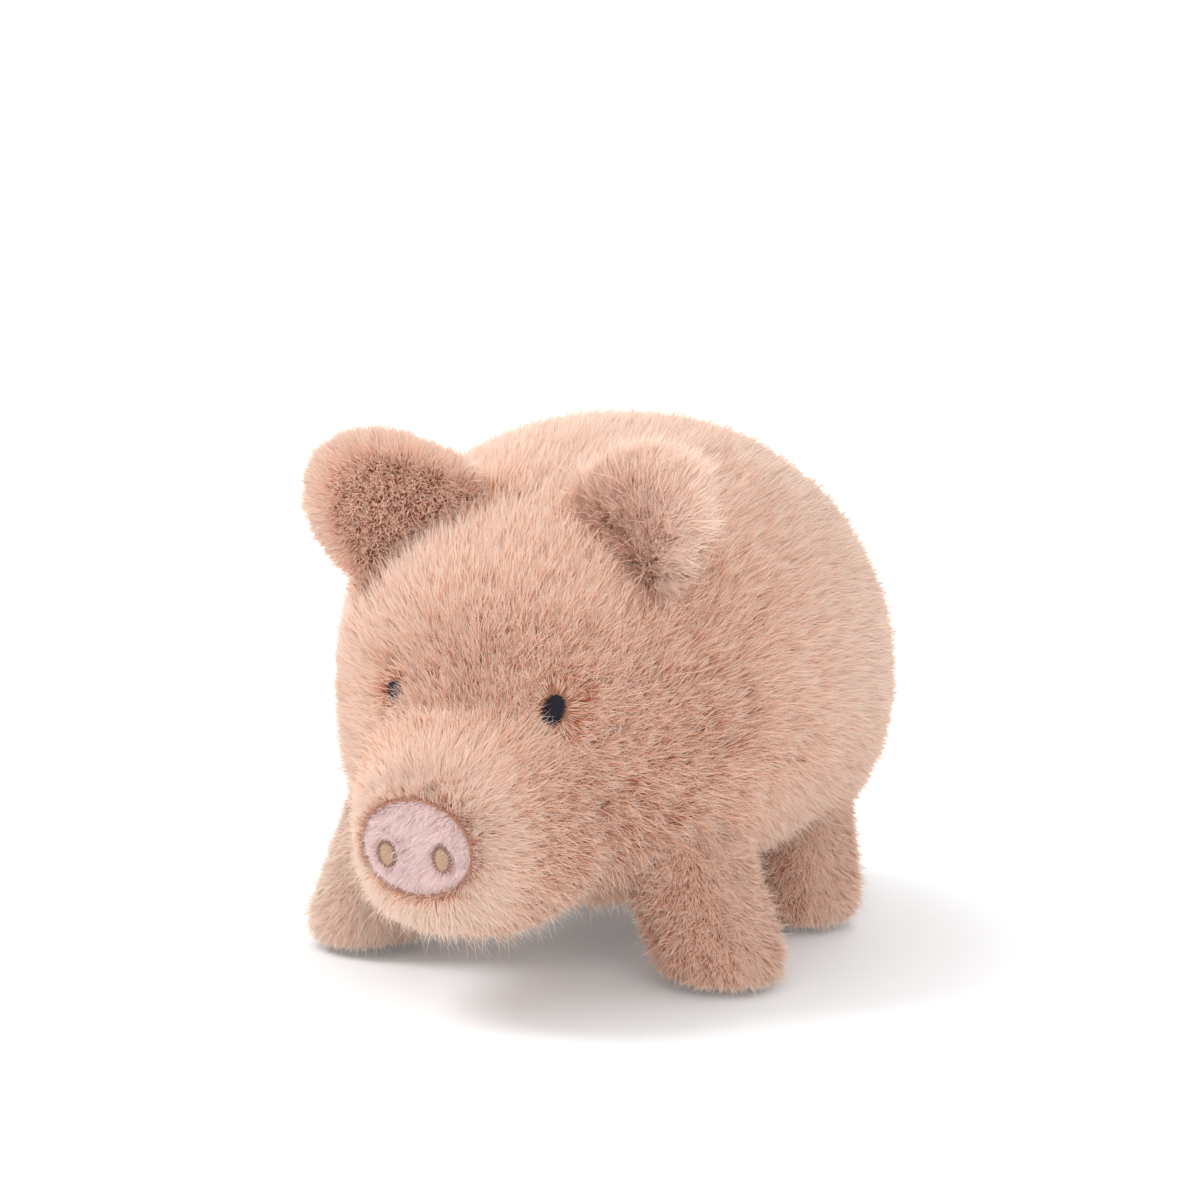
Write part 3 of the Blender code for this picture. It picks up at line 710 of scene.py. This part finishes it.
def torso_style(place, normal):
    flow, rise, deep = brushed(place)
    deep += ear_root_painted_shade(place)
    crown = smooth(place.z, 0.145, 0.165) * (1 - smooth(place.y, 0.01, 0.05))
    height = PILE_HEIGHT * (1 + 0.3 * max(0, deep) + 0.3 * crown)
    space = smooth(reach(MUZZLE_TREE, place), -0.004, -0.002)
    for tree in LEG_TREES.values():
        space = min(space, smooth(reach(tree, place), -0.005, -0.003))
    space *= 1 - THINNED_WHERE_DEEP * max(0, deep)
    flow, height, space, deep = parted_at_eyes(place, flow, height, space, deep)
    return flow, rise, height, space, deep


def torso_swell(place):
    rise = swelling(MUZZLE_TREE, 0.0032, 0.016)(place) * (0.35 + 0.65 * smooth(place.z, 0.060, 0.085))
    for tree in LEG_TREES.values():
        rise = max(rise, swelling(tree, 0.0016, 0.012)(place))
    return rise


# %% Torso panels
GAP = 0.00015
DENSITY = 7.6e6
PANELS = {
    "body_side_left": ((GAP, NECK_Y + GAP, SEAM_Z + GAP), (None, None, None), 2),
    "body_side_right": ((None, NECK_Y + GAP, SEAM_Z + GAP), (-GAP, None, None), 2),
    "belly_panel": ((None, NECK_Y + GAP, None), (None, None, SEAM_Z - GAP), 1),
    "head_side_left": ((GAP, None, None), (None, NECK_Y - GAP, None), 2),
    "head_side_right": ((None, None, None), (-GAP, NECK_Y - GAP, None), 2),
}


FINE_SKIN = ball(torso_point, 240, 150, CLOTH_DEPTH, swell=torso_swell)
COARSE_SKIN = ball(torso_point, 96, 64, CLOTH_DEPTH, swell=torso_swell)


def torso_panel(skin, low, high):
    """The part of the torso's cloth between two corners of a box."""
    bm = skin.copy()
    for axis in range(3):
        for limit, way in ((low[axis], 1), (high[axis], -1)):
            if limit is None:
                continue
            level, facing = Vector(), Vector()
            level[axis] = limit
            facing[axis] = way
            geometry = bm.verts[:] + bm.edges[:] + bm.faces[:]
            bmesh.ops.bisect_plane(
                bm, geom=geometry, plane_co=level, plane_no=facing, clear_inner=True
            )
    return settled(bm)


def cut_hidden(bm, trees, depth):
    """Opens the cloth where another form of the toy passes through it."""
    hidden = [
        face
        for face in bm.faces
        if any(all(reach(tree, vert.co) < -depth for vert in face.verts) for tree in trees)
    ]
    bmesh.ops.delete(bm, geom=hidden, context="FACES")


for name, (low, high, layers) in PANELS.items():
    combed_cloth = combed(torso_panel(FINE_SKIN, low, high), torso_style)
    density = DENSITY * (0.6 if name == "belly_panel" else 1)
    grow_pile(combed_cloth, name, "torso", "plush", BODY_PILE, density, layers)
    combed_cloth.free()
    cloth = torso_panel(COARSE_SKIN, low, high)
    cut_hidden(cloth, [MUZZLE_TREE, *LEG_TREES.values()], 0.004)
    lay_cloth(cloth, f"{name}_cloth", "torso", "plush", BACKING, name)

# %% [markdown]
# The muzzle's pile stands out from the pad all round, so it makes the soft raised ring that the
# photograph shows, and lies back towards the eyes. Next to the pad it leans over the pad's edge.
# %% The muzzle
RING = Vector((0.0184, 0, 0.0154))
RING_SWELL = 0.0008
RIM_SETBACK = 0.0019


def pad_distance(local, half):
    return math.hypot(local.x / half.x, (local.z - PAD_RISE) / half.z)


def muzzle_style(place, normal):
    local = in_muzzle(place)
    far = pad_distance(local, RING)
    ring = (1 - smooth(far, 1.0, 1.75)) * (local.y < 0)
    radial = Vector((local.x, 0, local.z - PAD_RISE)).normalized()
    inwards = 0.7 * (1 - smooth(far, 1.0, 1.4)) + 0.9 * (1 - smooth(far, 1.0, 1.1))
    flow = MUZZLE_TURN @ radial * (1.1 - inwards * (local.y < 0))
    unevenness = noise.noise_vector(place * 300 + Vector((3, 1, 7)))
    flow += Vector((0, 0.55, 0)) * (1 - ring) + unevenness * 0.45 * ring
    rise = 0.65 + 0.20 * ring
    height = PILE_HEIGHT * (1.05 - 0.20 * ring)
    space = smooth(reach(TORSO_TREE, place), -0.004, -0.002)
    for tree in LEG_TREES.values():
        space = min(space, smooth(reach(tree, place), -0.005, -0.003))
    # The muzzle's sides towards the head, low down most, are painted darker as painted shade, and the ring
    # round the pad is paler.
    painted_jowl_shade = smooth(local.y, -0.038, -0.012) * (1 - 0.7 * smooth(local.z, 0.012, 0.028))
    deep = 0.80 * painted_jowl_shade - 0.15 - 0.20 * ring
    space *= 1 - THINNED_WHERE_DEEP * max(0, deep)
    flow, height, space, deep = parted_at_eyes(place, flow, height, space, deep)
    return flow, rise, height, space, deep


def muzzle_cloth(segments, rings):
    upright = Matrix.Rotation(math.pi / 2, 3, "X")
    bm = ball(muzzle_point, segments, rings, CLOTH_DEPTH, upright, swelling(TORSO_TREE, 0.0026, 0.014))
    covered = []
    for vert in bm.verts:
        local = in_muzzle(vert.co)
        far = pad_distance(local, RING)
        if local.y < 0:
            vert.co += vert.normal * (RING_SWELL * smooth(far, 1.0, 1.3) * (1 - smooth(far, 1.4, 2.1)))
            if far < 1:
                covered.append(vert)
    bmesh.ops.delete(bm, geom=covered, context="VERTS")
    rim = {vert for edge in bm.edges if edge.is_boundary for vert in edge.verts}
    for vert in rim:
        local = in_muzzle(vert.co)
        angle = math.atan2((local.z - PAD_RISE) / RING.z, local.x / RING.x)
        ahead = max(-local.y, PAD_FRONT - RIM_SETBACK)
        vert.co = on_muzzle(RING.x * math.cos(angle), ahead, PAD_RISE + RING.z * math.sin(angle))
    return bm


combed_cloth = combed(muzzle_cloth(128, 96), muzzle_style)
grow_pile(combed_cloth, "muzzle", "torso", "plush", BODY_PILE, DENSITY, unruly=0.24, soft=0.14)
combed_cloth.free()
cloth = muzzle_cloth(80, 56)
cut_hidden(cloth, [TORSO_TREE], 0.004)
lay_cloth(cloth, "muzzle_cloth", "torso", "plush", BACKING, "muzzle_cover")

# %% [markdown]
# The legs' pile is brushed down, a little unevenly, and stands up from the cloth. Under the sole it
# is pressed flat by the toy's weight. The right legs, which face the key light, are painted lighter as
# painted light and the left legs darker as painted shade, and the paler pile is brushed smoother.
# %% Leg pile
LEG_PAINTED_SHADING = {1: 0.38, -1: -0.20}


def leg_style(name):
    hip = HINGES[name]
    side = LEGS[name][1]

    def style(place, normal):
        under = smooth(-normal.z, 0.55, 0.95)
        flow = Vector((0.2 * side, 0, -1)).lerp(Vector((place.x - hip.x, place.y - hip.y, 0)), under)
        flow += noise.noise_vector(place * 220) * 0.6 * (1 - under)
        rise = 1.15 - 0.75 * under
        height = PILE_HEIGHT * (0.98 - 0.6 * under)
        # Painted shading: the left legs darker as painted shade, the right legs lighter as painted light, and
        # each leg paler on its outer side.
        outer = smooth(normal.x * side, 0.20, 0.90)
        deep = LEG_PAINTED_SHADING[side] - 0.40 * outer
        space = smooth(reach(TORSO_TREE, place), -0.006, -0.003) * (1 - 0.40 * max(0, deep))
        return flow, rise, height, space, deep

    return style


for name in LEGS:
    cloth = combed(leg_form(name, CLOTH_DEPTH), leg_style(name))
    grow_pile(cloth, name, name, "plush", BODY_PILE, DENSITY, unruly=0.30, soft=0.12)
    lay_cloth(cloth, f"{name}_cloth", name, "plush", BACKING, f"{name}_cover")
    filling = object_from(leg_form(name, FILLING_DEPTH, 32, 8), f"{name}_filling", FIBRE)
    finish_piece(filling, name, "fibre", f"{name}_stuffing")

# %% [markdown]
# An ear is two panels sewn together at the rim and turned. Its front shows the pile end on, so the
# eye looks down between the hairs. The right ear's front is painted much darker as painted shade and
# the left ear's a little lighter as painted light; both are painted darker towards the foot, where the
# ear meets the head, as painted shade, and the rim lighter as painted light.
# %% Ears
EAR = dict(height=0.0400, thickness=0.0160, tip=0.56, shift=0.0090, cup=0.0035, sink=0.0060, overhang=0.0085)
EAR_FRONT_SWELL = 0.0035
EAR_BLADE = Vector((0.820, -0.200, 0.620))
EAR_ROUND = 0.833


def ear_frame(side):
    inner, _ = torso_seat(EAR_ROOT_INNER, side)
    outer, _ = torso_seat(EAR_ROOT_OUTER, side)
    root = (outer - inner).normalized()
    blade = Vector((EAR_BLADE.x * side, EAR_BLADE.y, EAR_BLADE.z))
    blade = (blade - root * blade.dot(root)).normalized()
    facing = blade.cross(root) * side
    if facing.y > 0:
        facing = -facing
    middle = (inner + outer) / 2 - blade * EAR["sink"]
    return middle, (outer - inner).length / 2 + EAR["overhang"], root, blade, facing


def ear_panel(side, way, sink, segments=64, rings=40):
    """One of the ear's two panels, with its flat side on the seam."""
    middle, half_root, root, blade, facing = ear_frame(side)
    height = EAR["height"] + EAR["sink"]

    def point(direction):
        place = Vector(direction) / norm(direction, EAR_ROUND)
        across, up, out = place.x, (place.y + 1) / 2, max(0, place.z)
        half_width = half_root * (1 - (1 - EAR["tip"]) * up) - sink
        bend = EAR["cup"] * (across * across + up * up - 1 / 2)
        swell = EAR_FRONT_SWELL * out * (1 - across * across) * (1 - (2 * up - 1) ** 2) if way > 0 else 0
        depth = way * ((EAR["thickness"] / 2 - sink) * out + swell + GAP)
        rise = sink + (height - 2 * sink) * up
        along = EAR["shift"] * up + half_width * across
        return middle + root * along + blade * rise + facing * (depth + bend)

    return ball(point, segments, rings)


EAR_PAINTED_SHADING = {1: -0.10, -1: 1.35}
EAR_FOOT_PAINTED_SHADE = {1: 0.10, -1: 0.45}
EAR_FLATNESS = {1: 1, -1: 0.4}


def ear_style(side, way):
    middle, half_root, root, blade, facing = ear_frame(side)
    centre = middle + blade * (EAR["height"] * 0.55) + root * EAR["shift"] * 0.5

    def style(place, normal):
        away = place - centre
        away -= facing * away.dot(facing)
        out = normal.dot(facing) * way
        up = (place - middle).dot(blade) / (EAR["height"] + EAR["sink"])
        across = (place - middle).dot(root) - EAR["shift"] * up
        across /= half_root * (1 - (1 - EAR["tip"]) * up)
        edge = smooth(math.hypot(across, max(0, up - 0.4) / 0.6), 0.32, 0.90)
        if way > 0:
            flat = EAR_FLATNESS[side]
            flow = away.normalized() * (0.1 + 0.5 * edge) + blade * (0.3 + 0.4 * flat)
            flow += noise.noise_vector(place * 300) * (0.5 + 0.2 * flat)
            rise = (1.7 - 0.8 * edge) * (1 - 0.45 * flat)
            height = PILE_HEIGHT * (0.95 + 0.15 * edge)
        else:
            flow = blade + away * 12
            rise = 0.85
            height = PILE_HEIGHT
        space = smooth(reach(TORSO_TREE, place), -0.004, -0.002) * smooth(out, -0.2, 0.0)
        # Painted shading of the ear: the front by its side's amount, darker lower down, the rim lighter as
        # painted light, the back panel a little lighter, and more painted shade at the foot.
        deep = EAR_PAINTED_SHADING[side] * (1 - edge) * (1.3 - 0.6 * up) - 0.4 * edge if way > 0 else -0.30
        deep += EAR_FOOT_PAINTED_SHADE[side] * (1 - smooth(up, 0.12, 0.32))
        space *= 1 - 0.35 * max(0, deep)
        return flow, rise, height, space, deep

    return style


for side_name, side in SIDES.items():
    for panel_name, way in (("front", 1), ("back", -1)):
        name = f"ear_{side_name}_{panel_name}"
        body = f"ear_{side_name}"
        slot, material = ("ear_plush", EAR_PAINTED_SHADE_AND_LIGHT_PILE) if way > 0 else ("plush", BODY_PILE)
        cloth = combed(ear_panel(side, way, CLOTH_DEPTH), ear_style(side, way))
        grow_pile(cloth, name, body, slot, material, DENSITY * 1.4, unruly=0.30, soft=0.10)
        finish_piece(object_from(cloth, f"{name}_cloth", BACKING), body, slot, name)

# %% [markdown]
# The tail is hidden in the photograph, so it is a plain stub, sewn of the same pile and brushed
# along its length.
# %% Tail
TAIL = dict(radius=0.0075, length=0.0160, sink=0.0070, tip=0.55, lift=0.0080)


def tail_form(sink):
    seat, normal = torso_seat(Vector((0, 1.0, 0.350)))
    root = seat - normal * TAIL["sink"]

    def point(direction):
        out = (direction.y + 1) / 2
        radius = (TAIL["radius"] - sink) * (1 - (1 - TAIL["tip"]) * out)
        run = TAIL["length"] + TAIL["sink"] - sink
        spine = root + normal * run * out + Vector((0, 0, TAIL["lift"] * out * out))
        return spine + Vector((direction.x * radius, 0, direction.z * radius))

    return ball(point, 32, 24)


def tail_style(place, normal):
    space = smooth(reach(TORSO_TREE, place), -0.004, -0.002)
    return Vector((0, 1, 0.3)), 0.8, PILE_HEIGHT * 0.8, space, 0.05


cloth = combed(tail_form(CLOTH_DEPTH), tail_style)
grow_pile(cloth, "tail", "tail", "plush", BODY_PILE, DENSITY)
finish_piece(object_from(cloth, "tail_cloth", BACKING), "tail", "plush", "tail")

# %% [markdown]
# One filling swells the whole torso, as one bag of fibre does in the toy.
# %% Filling
filling = object_from(ball(torso_point, 64, 40, FILLING_DEPTH), "torso_filling", FIBRE)
finish_piece(filling, "torso", "fibre", "torso_stuffing")

# %% [markdown]
# The pad is a small oval of short pale pile, set a little lower than the ring of long pile. A cord
# of brown thread lies in the groove between them.
# %% Snout pad
PAD_SINK = 0.0020


def pad_point(direction):
    level = math.hypot(direction.x, direction.z)
    place = Vector(direction) / norm((level, direction.y), 0.667)
    ahead = PAD_FRONT - PAD_SINK - PAD_HALF.y - place.y * PAD_HALF.y
    return on_muzzle(place.x * PAD_HALF.x, ahead, PAD_RISE + place.z * PAD_HALF.z)


NOSTRIL_HALF = Vector((0.0027, 0.0012, 0.0036))
NOSTRIL_SPACING, NOSTRIL_DROP = 0.0186, 0.0022
NOSTRILS = {
    side: Vector((way * NOSTRIL_SPACING / 2, PAD_FRONT, PAD_RISE - NOSTRIL_DROP)) for side, way in SIDES.items()
}


def pad_style(place, normal):
    local = in_muzzle(place)
    edge = smooth(pad_distance(local, PAD_HALF), 0.7, 1.0)
    brushing = MUZZLE_TURN @ Vector((-0.55, 0, -0.65)) * (1 - 0.6 * edge)
    flow = brushing + noise.noise_vector(place * 250) * 0.5
    space = smooth(-local.y, PAD_FRONT - PAD_SINK - 0.003, PAD_FRONT - PAD_SINK - 0.0015)
    for nostril in NOSTRILS.values():
        away = Vector((local.x - nostril.x, 0, local.z - nostril.z))
        far = math.hypot(away.x / NOSTRIL_HALF.x, away.z / NOSTRIL_HALF.z)
        if far < 2:
            flow = (MUZZLE_TURN @ away.normalized()).lerp(flow, smooth(far, 1.1, 2.0))
        if nostril.x > 0 or away.x < -0.2 * nostril.x:
            space = min(space, smooth(far, 0.95, 1.15))
    return flow, 0.5 + 0.9 * edge, 0.0023 - 0.0007 * edge, space, 0


cloth = combed(ball(pad_point, 96, 48), pad_style)
PAD_DENSITY = 17e6
PAD_HABITS = dict(width=0.00026, lock_size=0.0022, unruly=0.2)
grow_pile(cloth, "snout_pad", "torso", "pad_plush", PAD_PILE, PAD_DENSITY, **PAD_HABITS)
finish_piece(object_from(cloth, "snout_pad_cloth", PAD_BACKING), "torso", "pad_plush", "snout_pad")

# %% [markdown]
# Two eyes and two nostrils are worked in satin stitch: threads that lie side by side across an
# oval. A nostril has a rim of small brown stitches.
# %% Threads
TWIST = dict(scale=2600, depth=0.0001)
NAVY_DARK, NAVY_LIGHT = (0.003, 0.0035, 0.007), (0.012, 0.013, 0.024)
TAN_DARK, TAN_LIGHT = (0.44, 0.27, 0.17), (0.60, 0.40, 0.27)
BROWN_DARK, BROWN_LIGHT = (0.22, 0.11, 0.07), (0.36, 0.20, 0.14)
NAVY = rough_material("navy_thread", NAVY_DARK, NAVY_LIGHT, roughness=0.6, sheen=0.0, specular=0.3, **TWIST)
TAN = rough_material("tan_thread", TAN_DARK, TAN_LIGHT, roughness=0.5, sheen=0.1, specular=0.4, **TWIST)
BROWN = rough_material("brown_thread", BROWN_DARK, BROWN_LIGHT, roughness=0.7, sheen=0.1, specular=0.3, **TWIST)
EYE_STITCHES, NOSTRIL_STITCHES = 16, 12
EYE_LEAN = 20
RIM_STITCHES, SEAM_STITCHES = 20, 84
RIM_STITCH = Vector((0.00065, 0.0004, 0.00030))
SEAM_STITCH = Vector((0.0004, 0.0004, 0.0006))
SEAM_SETBACK = 0.0018
SEAM_HALF = Vector((0.01835, 0, 0.01535))


def thread(bm, centre, turn, size, lift=None):
    """One stitch: a ball drawn out to a size and laid on a place."""
    for vert in bmesh.ops.create_uvsphere(bm, u_segments=8, v_segments=8, radius=1)["verts"]:
        along = math.copysign(abs(vert.co.z) ** 0.7, vert.co.z)
        local = Vector((along * size.x, vert.co.y * size.y, vert.co.x * size.z))
        if lift:
            local.y -= lift(local.x)
        vert.co = centre + turn @ local


def satin_oval(centre, normal, half, dome, lean, count):
    """Threads side by side across an oval, laid over a low dome."""
    turn = (-normal).to_track_quat("Y", "Z").to_matrix() @ Matrix.Rotation(math.radians(lean), 3, "Y")
    bm = bmesh.new()
    for index in range(count):
        share = (index + 0.5) / count * 2 - 1
        width = half.x * (1 - abs(share) ** 2.4) ** (1 / 2.2) * (1 + 0.06 * math.sin(index * 2.4))
        size = Vector((max(width, half.x * 0.3), half.z / count * 1.25, half.z / count * 1.25))
        place = centre + turn @ Vector((0, -dome * (1 - 0.6 * share * share), half.z * share))
        thread(bm, place, turn, size, lambda x: -dome * 0.8 * (x / half.x) ** 2)
    face_outwards(bm)
    return bm


def stitched_rim(bm, centre, turn, half, count, size):
    for index in range(count):
        angle = math.tau * index / count
        place = Vector((half.x * math.cos(angle), 0, half.z * math.sin(angle)))
        thread(bm, centre + turn @ place, turn @ Matrix.Rotation(-angle, 3, "Y"), size)
    return bm


# %% Eyes and nostrils
for side_name, side in SIDES.items():
    seat, normal = EYES[side_name]
    half = Vector((EYE_HALF.x * 1.05, EYE_HALF.y, EYE_HALF.z))
    stitches = satin_oval(seat, normal, half, 0.0012, side * EYE_LEAN, EYE_STITCHES)
    eye = object_from(stitches, f"eye_{side_name}_stitches", NAVY)
    finish_piece(eye, "torso", "navy_thread", f"eye_{side_name}")

    ahead = MUZZLE_TURN @ Vector((0, -1, 0))
    local = NOSTRILS[side_name]
    centre = on_muzzle(local.x, local.y, local.z)
    stitches = satin_oval(centre, ahead, NOSTRIL_HALF, 0.0009, 0, NOSTRIL_STITCHES)
    nostril = object_from(stitches, f"nostril_{side_name}_stitches", TAN)
    finish_piece(nostril, "torso", "tan_thread", f"nostril_{side_name}")
    turn = (-ahead).to_track_quat("Y", "Z").to_matrix()
    raised = on_muzzle(local.x, local.y + 0.0005, local.z)
    rim = stitched_rim(bmesh.new(), raised, turn, NOSTRIL_HALF * 1.04, RIM_STITCHES, RIM_STITCH)
    face_outwards(rim)
    finish_piece(object_from(rim, f"nostril_{side_name}_rim", BROWN), "torso", "tan_thread")

turn = (MUZZLE_TURN @ Vector((0, 1, 0))).to_track_quat("Y", "Z").to_matrix()
middle = on_muzzle(0, PAD_FRONT - SEAM_SETBACK, PAD_RISE)
groove = stitched_rim(bmesh.new(), middle, turn, SEAM_HALF, SEAM_STITCHES, SEAM_STITCH)
face_outwards(groove)
# The cord has the backing cloth's brown: it stands for the stitches in the groove and partly for painted shade
# in the groove's depth.
finish_piece(object_from(groove, "pad_seam", BACKING), "torso", "pad_plush")

# %% [markdown]
# The photograph is a studio picture: soft light from above and the left, a white ground and a pale
# shadow. The floor is white, and far from the toy it is plain white for the camera.
# %% Floor


def white_floor():
    material = bpy.data.materials.new("white_ground")
    material.use_nodes = True
    net = Net(material.node_tree)
    shader = material.node_tree.nodes["Principled BSDF"]
    shader.inputs["Base Color"].default_value = (0.93, 0.95, 0.96, 1)
    shader.inputs["Roughness"].default_value = 0.9
    shader.inputs["Emission Color"].default_value = (1, 1, 1, 1)
    camera = net.add("ShaderNodeLightPath", None, None, "Is Camera Ray")
    glossy = net.add("ShaderNodeLightPath", None, None, "Is Glossy Ray")
    through = net.add("ShaderNodeLightPath", None, None, "Is Transmission Ray")
    far = net.vector("LENGTH", net.add("ShaderNodeTexCoord", None, None, "Object"), out="Value")
    limits = {0: far, 1: 0.09, 2: 0.30, 3: 0.0, 4: 0.8}
    lift = 0.11 + net.add("ShaderNodeMapRange", {"interpolation_type": "SMOOTHSTEP"}, limits)
    seen = camera.maths("MAXIMUM", camera, glossy.maths("MAXIMUM", glossy, through))
    net.tree.links.new((seen * lift).socket, shader.inputs["Emission Strength"])
    bm = bmesh.new()
    bmesh.ops.create_grid(bm, x_segments=1, y_segments=1, size=12)
    object_from(bm, "floor", material)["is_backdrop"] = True


white_floor()

# %% Light
LAMPS = {
    "key": (Vector((-1.20, -0.45, 1.40)), 0.9, 19),
    "fill": (Vector((1.0, -1.5, 0.8)), 1.5, 13.5),
    "back": (Vector((-0.1, 1.3, 1.2)), 0.9, 5),
    "low": (Vector((0.8, 1.2, 0.5)), 0.6, 2),
}


def studio_light():
    world = bpy.data.worlds.new("studio")
    bpy.context.scene.world = world
    world.use_nodes = True
    net = Net(world.node_tree)
    shader = world.node_tree.nodes["Background"]
    shader.inputs["Color"].default_value = (1, 1, 1, 1)
    camera = net.add("ShaderNodeLightPath", None, None, "Is Camera Ray")
    net.tree.links.new((0.62 + camera * 0.38).socket, shader.inputs["Strength"])
    for name, (place, size, power) in LAMPS.items():
        lamp = bpy.data.lights.new(name, "AREA")
        lamp.shape = "DISK"
        lamp.size = size
        lamp.energy = power
        holder = bpy.data.objects.new(name, lamp)
        holder.location = place
        holder.rotation_euler = (Vector((0, 0, 0.08)) - place).to_track_quat("-Z", "Y").to_euler()
        bpy.context.scene.collection.objects.link(holder)


studio_light()

# %% [markdown]
# The camera was found from the four feet and the paired eyes and nostrils of the photograph.
# %% Camera
AIM = Vector((0, 0.0120, 0.1113))
AZIMUTH, ELEVATION, DISTANCE = math.radians(24.8), math.radians(10.4), 1.7
PHOTO_WIDTH, PIXELS_PER_METRE = 1200, 3100
SENSOR_WIDTH = 36

back = Vector((0, -math.cos(ELEVATION), math.sin(ELEVATION)))
back.rotate(Matrix.Rotation(AZIMUTH, 3, "Z"))
lens = bpy.data.cameras.new("camera")
lens.sensor_width = SENSOR_WIDTH
lens.lens = SENSOR_WIDTH * PIXELS_PER_METRE * DISTANCE / PHOTO_WIDTH
lens.clip_end = 100
camera = bpy.data.objects.new("camera", lens)
camera.location = AIM + back * DISTANCE
camera.rotation_euler = (-back).to_track_quat("-Z", "Y").to_euler()
bpy.context.scene.collection.objects.link(camera)
bpy.context.scene.camera = camera
bpy.context.scene.view_settings.view_transform = "Standard"
print("camera at", [round(part, 3) for part in camera.location], "lens", round(lens.lens, 1), "mm")

# %% Measure and finish
bpy.data.objects.remove(BLADE)
low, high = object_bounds()
{"cad": CAD_BOX, "visual": [list(low), list(high)]}
meshes = [piece for piece in bpy.context.scene.objects if piece.type == "MESH" and not piece.hide_render]
print("faces in all:", sum(len(piece.data.polygons) for piece in meshes))
